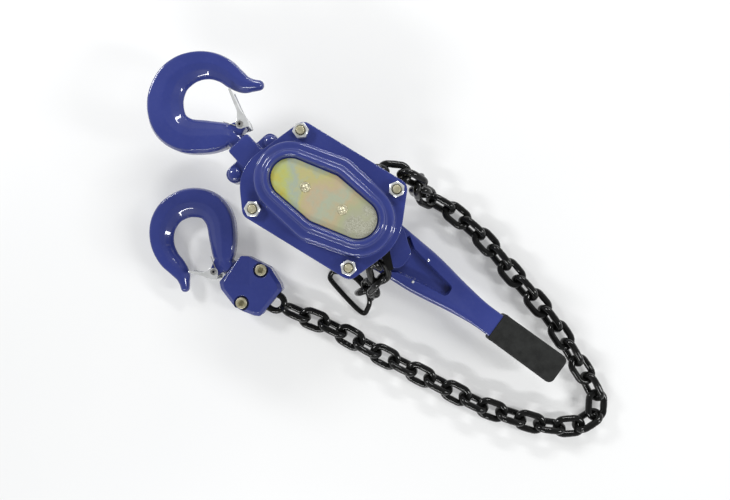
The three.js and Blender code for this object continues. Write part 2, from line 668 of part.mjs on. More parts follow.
function makeGrip() {
  const half = GRIP_WIDTH / 2;
  const outline = roundedRectangle(GRIP_START, GRIP_END, half, 7);
  const socket = box(GRIP_START - 5, 330.4, -15.9, 15.9, TONGUE_Z[0] - 0.4, TONGUE_Z[1] + 0.4);
  return cut(chamferedPrism(outline, ...GRIP_Z, 3.5, 2), socket);
}

// Direction knob under the lever: a thumb disc with a pointer, its spindle through the shell.
function makeSelectorKnob() {
  const pointer = roundedShape([[-11, -9, 4], [20, -5, 4.5], [20, 5, 4.5], [-11, 9, 4]]);
  const disc = chamferedPrism(circleShape(13.5), 22, 33.5, 1, 9);
  return join(disc, chamferedPrism(pointer, 18, 27, 1, 2), rod(6.3, 30, 40));
}

// Two-nosed pawl on the knob's spindle; both noses clear the change gear in neutral.
function makeSelectorPawl() {
  const shape = roundedShape([[-46, -17, 1.5], [-42, -22, 1.5], [-8, -13, 5], [12, -5, 5],
    [12, 5, 5], [-8, 13, 5], [-42, 22, 1.5], [-46, 17, 1.5], [-37, 0, 12]]);
  return prism(shape, 43, 53, 2);
}

function addLever() {
  const atLever = (body) => place(body, [0, 0], LEVER_ANGLE);
  addNode('hand_wheel', makeHandWheel(), BLUE);
  addNode('lever_upper_shell', atLever(makeUpperShell()), BLUE);
  addNode('lever_lower_shell', atLever(makeLowerShell()), BLUE);
  addNode('lever_grip', atLever(makeGrip()), RUBBER);
  addNode('selector_knob', atLever(makeSelectorKnob().translate([SELECTOR_X, 0, 0])), BLACK_PLASTIC);
  addNode('selector_pawl', atLever(makeSelectorPawl().translate([SELECTOR_X, 0, 0])), STEEL);
}

// ---------------------------------------------------------------- hooks and latches

// Stations down the middle of the forging: x, y, width in the hook's plane, thickness.
const HOOK_STATIONS = [
  [74, -3, 25.6, 25.6], [63, -3, 27, 27], [50, -11, 36, 30], [34, -29, 45, 32], [12, -49.5, 48, 32],
  [-13, -54, 48.5, 32], [-38, -39.5, 47.5, 32], [-52, -16, 44.5, 31], [-53, 6, 42, 31],
  [-46, 25, 38.5, 30], [-33, 40, 35.5, 29], [-16, 49, 33, 28], [1, 52, 30, 26],
  [15, 56.5, 25, 23], [25.5, 65, 17, 18], [31.5, 72, 9, 12],
];

// Half section across the forging: flat faces outside, a slope into the bowl.
const HOOK_SECTION = [[-0.5, 0.25], [-0.4, 0.5], [0.1, 0.5], [0.36, 0.38], [0.5, 0.14]];

function hookSection([x, y, width, thickness], inward) {
  const upper = HOOK_SECTION.map(([u, v]) => [u * width, v * thickness]);
  const lower = upper.toReversed().map(([u, v]) => [u, -v]);
  return [...upper, ...lower].map(([u, v]) => new THREE.Vector3(x + u * inward.x, y + u * inward.y, v));
}

// The bowl is lofted along its stations, then its turned neck and collar are added. The spread
// brings the free arm and the section's width in, and the lean tips the free arm towards the shank.
function makeHook(spread, lean) {
  const line = new THREE.CatmullRomCurve3(HOOK_STATIONS.map(([x, y]) => {
    const aside = y - HOOK_AXIS_Y;
    const drawn = aside * (aside > 0 ? spread : 1);
    return new THREE.Vector3(x + lean * drawn, HOOK_AXIS_Y + drawn, 0);
  }));
  const sizes = new THREE.CatmullRomCurve3(
    HOOK_STATIONS.map(([, , width, thick]) => new THREE.Vector3(spread * width, thick, 0)));
  const steps = 22;
  const rings = [];
  for (let i = 0; i <= steps; i++) {
    const at = line.getPoint(i / steps);
    const along = line.getTangent(i / steps);
    const size = sizes.getPoint(i / steps);
    const inward = new THREE.Vector3(along.y, -along.x, 0);
    rings.push(hookSection([at.x, at.y, size.x, size.y], inward));
  }
  const shank = turned([[0, 56], [SHANK_R, 56], [SHANK_R, NECK_X[0]], [NECK_R, NECK_X[0]],
    [NECK_R, COLLAR_X[0]], [COLLAR_R, COLLAR_X[0]], [COLLAR_R, COLLAR_X[1]], [NECK_R, COLLAR_X[1]],
    [NECK_R, NECK_X[1]], [0, NECK_X[1]]], 16).rotate([0, 90, 0]).translate([0, HOOK_AXIS_Y, 0]);
  const trimmed = cut(loft(rings), box(69.4, 90, -30, 30, -30, 30));
  const [px, py] = LATCH_PIVOT;
  const lug = prism(roundedShape([[px - 6, py + 6, 5.5], [px - 13, py - 16, 0], [px + 12, py - 16, 0],
    [px + 6, py + 6, 5.5]]), -10, 10, 2);
  const pinHole = rod(3.5, -20, 20, 10).translate([px, py, 0]);
  return cut(join(trimmed, shank, lug), pinHole);
}

// Pressed-sheet latch: two tapered cheeks joined by a web along the outer edge.
function makeLatch([tx, ty]) {
  const [px, py] = LATCH_PIVOT;
  const cheek = roundedShape([[tx - 1, ty + 2, 1], [tx - 3, ty - 2, 1], [px - 5, py - 6.3, 4.5],
    [px + 7, py - 5.5, 4], [px + 9, py + 9, 2], [px + 3, py + 10, 2]]);
  const cheeks = [[-17.3, -15.7], [15.7, 16]].map(([z0, z1]) => prism(cheek, z0, z1, 1));
  const webLine = roundedShape([[tx - 1, ty + 2, 0.3], [tx - 1.7, ty + 0.6, 0.3], [px + 2.6, py + 8.4, 0.3],
    [px + 3, py + 10, 0.3]]);
  const web = prism(webLine, -17.3, 17.3, 1);
  return cut(join(...cheeks, web), rod(3.5, -20, 20, 10).translate([px, py, 0]));
}

function makeLatchPin() {
  const profile = [[0, -18.6], [4.6, -18.6], [4.6, -17.6], [3, -17.6], [3, 17.6], [4.6, 17.6],
    [4.6, 18.6], [0, 18.6]];
  return turned(profile, 10).translate([...LATCH_PIVOT, 0]);
}

// Puts the hook group's pieces at their bowl's centre; side -1 turns the tip to the other side.
// The form is the hook's spread and lean.
function addHook(prefix, [x, y], angle, z, side, form, latchTip) {
  const at = (body) => place(side < 0 ? body.rotate([180, 0, 0]) : body, [x, y], angle, z);
  addNode(`${prefix}_hook`, at(makeHook(...form)), BLUE);
  addNode(`${prefix}_latch`, at(makeLatch(latchTip)), ZINC);
  addNode(`${prefix}_latch_pin`, at(makeLatchPin()), ZINC);
}

// A point on a line through start at an angle, offset sideways to the left.
function along([x, y], angle, distance, left = 0) {
  return [x + distance * Math.cos(angle) - left * Math.sin(angle),
    y + distance * Math.sin(angle) + left * Math.cos(angle)];
}

function addHooks() {
  const topBowl = along(TOP_PIN, TOP_ANGLE, BOWL_TO_PIN, HOOK_AXIS_Y);
  addHook('top', topBowl, TOP_ANGLE + Math.PI, SHEAVE_Z, 1, [1, 0], TOP_LATCH_TIP);
  const bottomBowl = along(BLOCK_CENTRE, BLOCK_ANGLE, -BOWL_TO_BLOCK, HOOK_AXIS_Y);
  const bottomForm = [BOTTOM_HOOK_SPREAD, BOTTOM_HOOK_LEAN];
  addHook('bottom', bottomBowl, BLOCK_ANGLE, BLOCK_Z, -1, bottomForm, BOTTOM_LATCH_TIP);
}

// ---------------------------------------------------------------- top yoke

// Half of the swivel housing: bore for the hook's neck, wider chamber for its collar.
function swivelHollow(frontX, axisY) {
  return join(
    rodAlongX(NECK_R + 0.7, frontX - 10, COLLAR_X[0] - 0.6, axisY, 0),
    rodAlongX(COLLAR_R + 0.8, COLLAR_X[0] - 0.7, NECK_X[1] + 1.2, axisY, 0),
  );
}

function makeYokeHalf() {
  const front = NECK_X[0] + 0.6;
  const body = roundedRectangle(front, BOWL_TO_PIN - 6, 17.5, 4);
  const arm = roundedRectangle(YOKE_RIVET_X - 11.5, YOKE_RIVET_X + 11.5, YOKE_RIVET_Y + 11.5, 11);
  const half = join(
    chamferedPrism(body, -2, 19, 1.2, 2),
    prism(arm, 0, 13),
    prism(circleShape(15, BOWL_TO_PIN, 0), 0, 19, 10),
  );
  const rivetHole = rod(5.5, -5, 25, 12);
  const rivetHoles = [-1, 1].map((side) => rivetHole.translate([YOKE_RIVET_X, side * YOKE_RIVET_Y, 0]));
  const pinHole = rod(TOP_PIN_R + 0.5, -5, 25).translate([BOWL_TO_PIN, 0, 0]);
  return cut(half, box(0, 200, -60, 60, -10, GAP / 2), swivelHollow(front, 0), ...rivetHoles, pinHole);
}

// Domed rivet through both halves.
function makeYokeRivet() {
  const profile = [[0, -19], [5, -19], [8.6, -16], [9.4, -13.4], [5, -13.4], [5, 13.4], [9.4, 13.4],
    [8.6, 16], [5, 18.4], [0, 19.2]];
  return turned(profile, 14);
}

function addYoke() {
  const yokeOrigin = along(TOP_PIN, TOP_ANGLE, BOWL_TO_PIN);
  const at = (body) => place(body, yokeOrigin, TOP_ANGLE + Math.PI, SHEAVE_Z);
  addNode('yoke_upper', at(makeYokeHalf()), BLUE);
  addNode('yoke_lower', at(makeYokeHalf().rotate([180, 0, 0])), BLUE);
  [1, -1].forEach((side, i) => {
    const rivet = makeYokeRivet().translate([YOKE_RIVET_X, side * YOKE_RIVET_Y, 0]);
    addNode(`yoke_rivet_${i + 1}`, at(rivet), BLUE);
  });
}

// ---------------------------------------------------------------- bottom block

const BLOCK_SCREWS = [[-6, 28], [3, -28]];

// One half above the parting plane, with its share of every hollow.
function makeBlockHalf() {
  const corners = [[-43, -25, 3], [-34, -32, 5], [2, -40, 8], [29, -31, 5], [37, -26, 3],
    [37, 26, 3], [29, 31, 5], [2, 40, 8], [-34, 32, 5], [-43, 25, 3]];
  const crown = BLOCK_HALF + GAP;
  const half = bevelledPrism(corners, -crown, crown, 5, 0.86, 1);
  const below = box(-60, 60, -60, 60, -40, GAP);
  const hollow = swivelHollow(NECK_X[0], 0).translate([-BOWL_TO_BLOCK, 0, 0]);
  const mouth = roundedShape([[5, -21, 8], [45, -24.2, 1], [45, 24.2, 1], [5, 21, 8]]);
  const slot = prism(mouth, -WIRE / 2 - 0.8, WIRE / 2 + 0.8, 2);
  const anchorHole = rod(5.3, -12, 12, 12).translate([ANCHOR_X, 0, 0]);
  const screwHoles = BLOCK_SCREWS.map(([x, y]) => rod(4.9, -30, 30, 12).translate([x, y, 0]));
  return cut(half, below, hollow, slot, anchorHole, ...screwHoles);
}

// The upper half also has counterbores for the screw heads.
function makeBlockUpper() {
  const sinks = BLOCK_SCREWS.map(([x, y]) => rod(11.5, BLOCK_HALF + GAP - 8, 40).translate([x, y, 0]));
  return cut(makeBlockHalf(), ...sinks);
}

// The lower half is cut from the mirrored block, so that both halves close round the same hook.
function makeBlockLower() {
  return makeBlockHalf().mirror([0, 0, 1]);
}

// Socket-head screw with a round head; its socket is six-sided.
function makeBlockScrew() {
  const head = rod(8.4, 11.6, 19.2);
  const shank = rod(4.4, -16, 12, 12);
  const socket = turned([[0, 14.5], [4.2, 14.5], [4.2, 25], [0, 25]], 6);
  return cut(join(head, shank), socket);
}

function addBlock() {
  const at = (body) => place(body, BLOCK_CENTRE, BLOCK_ANGLE, BLOCK_Z);
  addNode('block_half_upper', at(makeBlockUpper()), BLUE);
  addNode('block_half_lower', at(makeBlockLower()), BLUE);
  BLOCK_SCREWS.forEach(([x, y], i) => {
    addNode(`block_screw_${i + 1}`, at(makeBlockScrew().translate([x, y, 0])), YELLOW_ZINC);
  });
  addNode('chain_anchor_pin', at(rod(4.8, -11.6, 11.6, 12).translate([ANCHOR_X, 0, 0])), STEEL);
}

// ---------------------------------------------------------------- chain

// A rectangle about the origin with fully rounded ends; a link lies with its length along X.
function slotShape(length, width) {
  const [x, y] = [length / 2, width / 2];
  return roundedRectangle(-x, x, y, Math.min(x, y) - 0.01);
}

// The end link is open in the middle, with the anchor pin through its inner end.
function makeEndLink() {
  const shape = slotShape(LINK_LENGTH, LINK_WIDTH);
  shape.holes.push(slotShape(PITCH, LINK_WIDTH - 2 * WIRE));
  const link = prism(shape, -WIRE / 2, WIRE / 2);
  const pin = along(BLOCK_CENTRE, BLOCK_ANGLE, ANCHOR_X);
  return place(link.translate([PITCH / 2 - 5.1, 0, 0]), pin, END_LINK_ANGLE, BLOCK_Z);
}

// A plain stand-in link between two bearing points; its width lies along the side vector.
function plainLink(from, to, side, extra = WIRE) {
  const forward = new THREE.Vector3().subVectors(to, from);
  const length = forward.length() + 2 * extra;
  forward.normalize();
  const across = side.clone().addScaledVector(forward, -side.dot(forward)).normalize();
  const up = new THREE.Vector3().crossVectors(forward, across);
  const middle = new THREE.Vector3().addVectors(from, to).multiplyScalar(0.5);
  const frame = new THREE.Matrix4().makeBasis(forward, across, up).setPosition(middle);
  const geometry = new THREE.ExtrudeGeometry(slotShape(length, LINK_WIDTH), {
    depth: WIRE, bevelEnabled: false, curveSegments: 2,
  });
  return solid(geometry.translate(0, 0, -WIRE / 2).applyMatrix4(frame));
}

// Links on the sheave: they alternate between lying on edge in its plane and flat in a pocket.
function makeChainOnSheave() {
  const UP = new THREE.Vector3(0, 0, 1);
  const joint = (angle) => new THREE.Vector3(...polar(CHAIN_JOINT_R, angle), SHEAVE_Z);
  const links = [];
  for (let i = 0; i < 4; i++) {
    const from = joint((112.5 + 45 * i) * DEG);
    const to = joint((157.5 + 45 * i) * DEG);
    const radial = new THREE.Vector3(from.x + to.x, from.y + to.y, 0).normalize();
    const sink = radial.clone().multiplyScalar(CHAIN_CENTRE_R - CHAIN_JOINT_R * Math.cos(22.5 * DEG));
    links.push(plainLink(from.add(sink), to.add(sink), i % 2 ? radial : UP));
  }
  const start = joint(112.5 * DEG);
  const mouth = new THREE.Vector3(...CHAIN_ROUTE[0]);
  const leaving = new THREE.Vector3().subVectors(mouth, start).setLength(PITCH).add(start);
  links.push(plainLink(start, leaving, new THREE.Vector3(-leaving.y, leaving.x, 0)));
  const last = joint(292.5 * DEG);
  links.push(plainLink(last, new THREE.Vector3(...TAIL_ROUTE[0]), UP));
  return cut(join(...links), box(35 - GAP, 80, -60, -10, 90, 140));
}

// The tail: from the sheave out of the body, then down beside the lever to the end ring.
function makeTailChain() {
  const points = TAIL_ROUTE.map((point) => new THREE.Vector3(...point));
  const links = [];
  for (let i = 0; i + 1 < points.length; i++) {
    const forward = new THREE.Vector3().subVectors(points[i + 1], points[i]).normalize();
    const level = new THREE.Vector3(-forward.y, forward.x, 0).normalize();
    const side = i % 2 ? new THREE.Vector3().crossVectors(forward, level) : level;
    const isLast = i + 2 === points.length;
    links.push(plainLink(points[i], points[i + 1], side, isLast ? RING_WIRE_R : WIRE));
  }
  return cut(join(...links), box(0, 35, -60, -10, 90, 140));
}

// Triangular wire ring that stops the chain's end; it leans on the last link. Two flat ears widen
// the side that the link hangs on, one on each side of the link.
function makeEndRing() {
  const corners = [[90, -73, 9], [121, -85, 15], [131, -106, 7], [122, -113.5, 4], [66, -98, 4],
    [55, -90, 4.5], [60, -80, 6]];
  const bends = corners.map((corner) => new THREE.Vector3(...corner));
  const path = new THREE.CatmullRomCurve3(bends, true, 'catmullrom', 0.35);
  const steps = 30;
  const frames = path.computeFrenetFrames(steps, true);
  const rings = [];
  for (let i = 0; i < steps; i++) {
    const centre = path.getPointAt(i / steps);
    const ring = [];
    for (let j = 0; j < 6; j++) {
      const angle = 2 * Math.PI * j / 6;
      ring.push(centre.clone().addScaledVector(frames.normals[i], RING_WIRE_R * Math.cos(angle))
        .addScaledVector(frames.binormals[i], RING_WIRE_R * Math.sin(angle)));
    }
    rings.push(ring);
  }
  const ears = END_RING_EARS.map((outline) => prism(polygon(outline), ...END_RING_EAR_Z));
  return join(closedTube(rings), ...ears);
}

// Rings of points joined one after another and the last to the first.
function closedTube(rings) {
  const count = rings[0].length;
  const faces = [];
  for (let i = 0; i < rings.length; i++) {
    const next = (i + 1) % rings.length;
    for (let j = 0; j < count; j++) {
      const k = (j + 1) % count;
      faces.push(i * count + j, i * count + k, next * count + k);
      faces.push(i * count + j, next * count + k, next * count + j);
    }
  }
  const geometry = new THREE.BufferGeometry().setFromPoints(rings.flat());
  geometry.setIndex(faces);
  return solid(geometry);
}

// The free chain as one plain tube.
function makeLoadChain() {
  const path = new THREE.CatmullRomCurve3(CHAIN_ROUTE.map((point) => new THREE.Vector3(...point)));
  const section = regularPolygon(8, CHAIN_TUBE / 2, 22.5 * DEG);
  return solid(new THREE.ExtrudeGeometry(section, {
    extrudePath: path, steps: CHAIN_STEPS, bevelEnabled: false,
  }));
}

function addChain() {
  addNode('load_chain', makeLoadChain(), CHAIN_BLACK);
  addNode('chain_on_sheave', makeChainOnSheave(), CHAIN_BLACK);
  addNode('tail_chain', makeTailChain(), CHAIN_BLACK);
  addNode('chain_end_ring', makeEndRing(), CHAIN_BLACK);
  addNode('end_link', makeEndLink(), CHAIN_BLACK);
}

// ---------------------------------------------------------------- assembly

addBody();
addGearTrain();
addBrake();
addLever();
addHooks();
addYoke();
addBlock();
addChain();

// The origin is the bottom centre of everything but the free chain.
const bounds = new THREE.Box3();
const fixedPieces = hoist.children.filter((node) => node.name !== 'load_chain');
fixedPieces.forEach((node) => bounds.expandByObject(node, true));
const middle = bounds.getCenter(new THREE.Vector3());
hoist.position.set(-middle.x, -middle.y, -bounds.min.z);

export default hoist;
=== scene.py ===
"""Lever chain hoist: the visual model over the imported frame.

Lengths are written in millimetres in the hoist's own frame, whose Z axis is the drive shaft and whose
+X runs towards the lever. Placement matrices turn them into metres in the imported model's frame.
"""

import math
import random
from contextlib import contextmanager

import bmesh
import bpy
from mathutils import Matrix, Vector
from mathutils.geometry import tessellate_polygon


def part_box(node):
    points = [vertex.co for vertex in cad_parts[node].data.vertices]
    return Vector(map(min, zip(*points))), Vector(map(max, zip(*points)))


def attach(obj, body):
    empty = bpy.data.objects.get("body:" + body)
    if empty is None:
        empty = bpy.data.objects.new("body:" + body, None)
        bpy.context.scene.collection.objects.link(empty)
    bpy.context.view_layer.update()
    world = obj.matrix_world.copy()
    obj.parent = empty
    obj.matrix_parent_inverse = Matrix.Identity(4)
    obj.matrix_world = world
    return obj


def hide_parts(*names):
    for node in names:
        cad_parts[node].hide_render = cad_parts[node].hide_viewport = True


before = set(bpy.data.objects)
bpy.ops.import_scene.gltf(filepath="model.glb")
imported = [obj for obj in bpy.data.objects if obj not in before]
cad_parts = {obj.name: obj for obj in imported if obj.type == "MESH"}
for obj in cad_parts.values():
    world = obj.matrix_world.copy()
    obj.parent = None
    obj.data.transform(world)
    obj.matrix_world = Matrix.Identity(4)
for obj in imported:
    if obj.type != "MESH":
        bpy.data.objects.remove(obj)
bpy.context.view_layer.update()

MM = 0.001
DEG = math.pi / 180
UP = Vector((0, 0, 1))

# Edges turned by more than these degrees stay sharp: on machined parts, pressings, and rounded parts.
SHARP_MACHINED = 38
SHARP_PRESSED = 50
SHARP_ROUNDED = 60
WELD_DISTANCE = 0.002 * MM

# ---- driving dimensions

LEVER_BOTTOM = 36
LEVER_SPLIT = 48
LEVER_TOP = 62
BOSS_TOP = 65.2
SHEET = 3
SHEAVE_Z = 117
PANEL_SEAT_Z = 162.6
FLANGE_Z = (142.3, 146)
GEAR_PLATE_Z = (137, 142)
BRAKE_PLATE_Z = (92, 97)
COVER_NOSE = 114.6
BRAKE_PLATE_NOSE = 117

STAY_X = 73.6
STAY_Y = 60.2
STAYS = [(-STAY_X, STAY_Y), (STAY_X, STAY_Y), (STAY_X, -STAY_Y), (-STAY_X, -STAY_Y)]
STAY_HOLE_R = 6.2
NUT_Z = (146.3, 155.3)
NUT_FLATS = 19
STAY_HEAD_Z = (83, 91.7)
STAY_HEAD_FLATS = 18.7
GEAR_CENTRES = 51
PANEL_RIVET_X = 28

LEVER_ANGLE = -4.5 * DEG
GRIP_START = 300
GRIP_END = 413
GRIP_HALF = 22.75
GRIP_Z = (36, 65)

HOOK_AXIS_Y = -3
SHANK_R = 12.8
NECK_R = 9.5
COLLAR_R = 13.4
NECK_X = (69.7, 97.5)
COLLAR_X = (84.6, 96.4)
LATCH_PIVOT = (55, 15.5)
TOP_LATCH_TIP = (10, 37.2)
BOTTOM_LATCH_TIP = (26, 39.2)
LATCH_CHEEK_Z = (15.7, 17.3)
SPRING_R = 4.6
SPRING_WIRE_R = 0.6
SPRING_Z = 10.9
SPRING_LENGTH = 4.0

TOP_PIN = (-92, -9)
TOP_ANGLE = 164 * DEG
BOWL_TO_PIN = 121.3
YOKE_RIVET_X = 99.3
YOKE_RIVET_Y = 32
FORGING_VOXEL = 0.8

BLOCK_CENTRE = (-34.6, -164)
BLOCK_ANGLE = -8 * DEG
BLOCK_Z = 19
BOWL_TO_BLOCK = 113.5
BLOCK_SCREWS = [(-6, 28), (3, -28)]
SCREW_HEAD_R = 8.4
SCREW_HEAD_Z = (11.6, 19.2)
SOCKET_FLATS = 8.2
SOCKET_FLOOR_Z = 13.2
ANCHOR_X = 24
END_LINK_ANGLE = 1.5 * DEG

WIRE = 10
PITCH = 30
LINK_LENGTH = 50
LINK_WIDTH = 34
CHAIN_LEAN = 24
RING_WIRE_R = 3.9
CHAIN_CENTRE_R = 36.6
CHAIN_JOINT_R = 39.6

# Centreline of the free load chain, from the body's mouth to the end link in the block.
CHAIN_ROUTE = [
    (18.9, 58.8, 117), (38, 70, 117), (57, 81, 117), (76, 88.5, 115), (91, 90.5, 104), (99, 87, 85),
    (103.5, 85, 60), (109, 85.5, 36), (122, 88.5, 19.5), (143, 91.5, 16), (178, 87.5, 16), (212, 82, 16),
    (247, 72, 16), (280, 60, 16), (312, 50, 16), (343, 40, 16), (368, 31.5, 16),
    (391, 21, 16), (418, 8, 16), (443, -6, 16), (467, -17.5, 16), (488, -29, 16),
    (504, -46, 16), (507, -67, 16), (494, -87, 16), (472, -103, 16), (449, -114.5, 16),
    (425, -121.5, 16), (396, -129, 16), (371, -135, 16), (345, -139.5, 16),
    (288, -143.5, 16), (227, -148, 16), (168, -152.5, 16), (110, -154.5, 16),
    (70, -159, 16), (44, -164.6, 17.8), (24.9, -165.8, 19),
]

# Bearing points of the tail chain's links, from the sheave to the end ring.
TAIL_ROUTE = [
    (45, -36.6, 117), (75, -35.6, 117), (105, -38.5, 115), (119.5, -52, 95), (118, -68, 70),
    (113.5, -76.5, 43), (110, -81.5, 13.5),
]
END_RING = [
    (90, -73, 14), (121, -85, 19.5), (130, -104, 10), (122.5, -113, 4.5), (66, -98, 4.2),
    (55, -90, 6), (60, -80, 10),
]

# Flat ears on the end ring, either side of the link that it hangs on.
END_RING_EARS = [
    [(84, -73), (88, -75), (106, -79), (107, -72), (104, -67.5), (92, -64.5)],
    [(121, -75.5), (119, -82), (121, -86.5), (130, -90), (131, -84), (127.5, -77.5)],
]
END_RING_EAR_Z = (14.5, 17.9)

# ---- placement

shaft_low, shaft_high = (Vector(corner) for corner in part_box("pinion_shaft"))
SHAFT = Vector(((shaft_low.x + shaft_high.x) / 2, (shaft_low.y + shaft_high.y) / 2, 0))
SHAFT_X = SHAFT.x / MM


def placed(x=0, y=0, angle=0, z=0, flip=False):
    """A local frame in millimetres at (x, y, z) of the hoist, turned about Z, perhaps upside down."""
    turn = Matrix.Rotation(angle, 4, "Z")
    if flip:
        turn = turn @ Matrix.Rotation(math.pi, 4, "X")
    return Matrix.Translation(SHAFT) @ Matrix.Scale(MM, 4) @ Matrix.Translation((x, y, z)) @ turn


def along(start, angle, distance, left=0):
    """The point at a distance from start in a direction, and perhaps to the left of that line."""
    x = start[0] + distance * math.cos(angle) - left * math.sin(angle)
    y = start[1] + distance * math.sin(angle) + left * math.cos(angle)
    return x, y


HOIST = placed()
LEVER = placed(angle=LEVER_ANGLE)
YOKE = placed(*along(TOP_PIN, TOP_ANGLE, BOWL_TO_PIN), TOP_ANGLE + math.pi, SHEAVE_Z)
TOP_HOOK = placed(*along(TOP_PIN, TOP_ANGLE, BOWL_TO_PIN, HOOK_AXIS_Y), TOP_ANGLE + math.pi, SHEAVE_Z)
BLOCK = placed(*BLOCK_CENTRE, BLOCK_ANGLE, BLOCK_Z)
BOTTOM_HOOK = placed(*along(BLOCK_CENTRE, BLOCK_ANGLE, -BOWL_TO_BLOCK, HOOK_AXIS_Y), BLOCK_ANGLE, BLOCK_Z,
                     flip=True)

# ---- camera, lights and floor

CAMERA_AT = (79.8, -29.0, 1000)
CAMERA_TURN = 31.5 * DEG
IMAGE_RIGHT = Vector((math.cos(CAMERA_TURN), math.sin(CAMERA_TURN), 0))
IMAGE_UP = Vector((-math.sin(CAMERA_TURN), math.cos(CAMERA_TURN), 0))

scene = bpy.context.scene
scene.view_settings.view_transform = "Standard"

camera_data = bpy.data.cameras.new("camera")
camera_data.sensor_width = 36
camera_data.lens = 32.0
camera = bpy.data.objects.new("camera", camera_data)
camera.location = HOIST @ Vector(CAMERA_AT)
camera.rotation_euler = (0, 0, CAMERA_TURN)
scene.collection.objects.link(camera)
scene.camera = camera

# Softboxes round the table: offsets in the picture's right, up and height, then size and power.
SOFTBOXES = [
    ("softbox_left", -1.35, 0.95, 1.25, 0.45, 0.3, 17),
    ("softbox_top", 0.55, 1.45, 1.15, 0.9, 0.16, 15),
    ("softbox_right", 1.6, -0.35, 1.3, 0.25, 0.7, 15),
    ("softbox_front", -0.35, -1.5, 1.1, 0.9, 0.14, 14),
]
view_centre = HOIST @ Vector((CAMERA_AT[0], CAMERA_AT[1], 0))
for name, right, up, height, width, depth, power in SOFTBOXES:
    light_data = bpy.data.lights.new(name, "AREA")
    light_data.shape = "RECTANGLE"
    light_data.size = width
    light_data.size_y = depth
    light_data.energy = power
    light = bpy.data.objects.new(name, light_data)
    light.location = view_centre + IMAGE_RIGHT * right + IMAGE_UP * up + UP * height
    light.rotation_euler = (view_centre - light.location).to_track_quat("-Z", "Y").to_euler()
    scene.collection.objects.link(light)

world = bpy.data.worlds.new("studio")
world.use_nodes = True
background = world.node_tree.nodes["Background"]
direction = world.node_tree.nodes.new("ShaderNodeTexCoord")
height = world.node_tree.nodes.new("ShaderNodeSeparateXYZ")
sky = world.node_tree.nodes.new("ShaderNodeValToRGB")
sky.color_ramp.elements[0].position = 0.0
sky.color_ramp.elements[0].color = (0.80, 0.82, 0.84, 1)
sky.color_ramp.elements[1].position = 0.95
sky.color_ramp.elements[1].color = (0.20, 0.205, 0.21, 1)
world.node_tree.links.new(direction.outputs["Generated"], height.inputs["Vector"])
world.node_tree.links.new(height.outputs["Z"], sky.inputs["Fac"])
world.node_tree.links.new(sky.outputs["Color"], background.inputs["Color"])
background.inputs["Strength"].default_value = 0.8
scene.world = world

# ---- node materials


class Tree:
    """A material's node tree, with short calls for the nodes used here."""

    def __init__(self, name):
        self.material = bpy.data.materials.new(name)
        self.material.use_nodes = True
        self.tree = self.material.node_tree
        self.shader = self.tree.nodes["Principled BSDF"]
        self.place = self.node("TexCoord").outputs["Object"]

    def link(self, source, target):
        self.tree.links.new(source, target)

    def node(self, kind, **inputs):
        """A new node whose inputs are set, or linked where the value is another node's output."""
        node = self.tree.nodes.new("ShaderNode" + kind)
        for name, value in inputs.items():
            socket = node.inputs[name.replace("_", " ")]
            if isinstance(value, bpy.types.NodeSocket):
                self.link(value, socket)
            else:
                socket.default_value = value
        return node

    def noise(self, scale, detail, rough=0.5, distortion=0.0, stretch=None):
        place = self.place
        if stretch:
            place = self.node("Mapping", Vector=place, Scale=stretch).outputs["Vector"]
        return self.node("TexNoise", Vector=place, Scale=scale, Detail=detail, Roughness=rough,
                         Distortion=distortion).outputs["Fac"]

    def cells(self, scale):
        return self.node("TexVoronoi", Vector=self.place, Scale=scale).outputs["Distance"]

    def ramp(self, source, stops):
        node = self.node("ValToRGB", Fac=source)
        ramp = node.color_ramp
        while len(ramp.elements) < len(stops):
            ramp.elements.new(0.5)
        for element, (position, colour) in zip(ramp.elements, stops):
            element.position = position
            element.color = (*colour, 1)
        return node.outputs["Color"]

    def mix(self, factor, first, second, blend="MIX"):
        node = self.node("Mix")
        node.data_type = "RGBA"
        node.blend_type = blend
        for value, socket in ((factor, node.inputs[0]), (first, node.inputs[6]), (second, node.inputs[7])):
            if isinstance(value, bpy.types.NodeSocket):
                self.link(value, socket)
            elif isinstance(value, (int, float)):
                socket.default_value = value
            else:
                socket.default_value = (*value, 1)
        return node.outputs[2]

    def veil(self, source, low, high, most, base, colour):
        """Lays a colour over the base, up to a share of most, as the source rises from low to high."""
        return self.mix(self.ramp(source, [(low, (0, 0, 0)), (high, (most, most, most))]), base, colour)

    def span(self, source, low, high, from_low, from_high):
        """Rescales a value so that from_low becomes low and from_high becomes high, and holds it there."""
        return self.node("MapRange", Value=source, From_Min=from_low, From_Max=from_high, To_Min=low,
                         To_Max=high).outputs["Result"]

    def bump(self, layers):
        """Stacks bumps: each layer is a height, a depth in millimetres and a strength."""
        normal = None
        for height, depth, strength in layers:
            node = self.node("Bump", Height=height, Distance=depth * MM, Strength=strength)
            if normal:
                self.link(normal, node.inputs["Normal"])
            normal = node.outputs["Normal"]
        self.link(normal, self.shader.inputs["Normal"])

    def edges(self, low, high):
        """White on worn convex edges."""
        return self.span(self.node("NewGeometry").outputs["Pointiness"], 0, 1, low, high)

    def colour(self, source):
        self.link(source, self.shader.inputs["Base Color"])

    def roughness(self, source, low, high):
        self.link(self.span(source, low, high, 0.3, 0.7), self.shader.inputs["Roughness"])

    def fixed(self, **values):
        for name, value in values.items():
            self.shader.inputs[name.replace("_", " ")].default_value = value


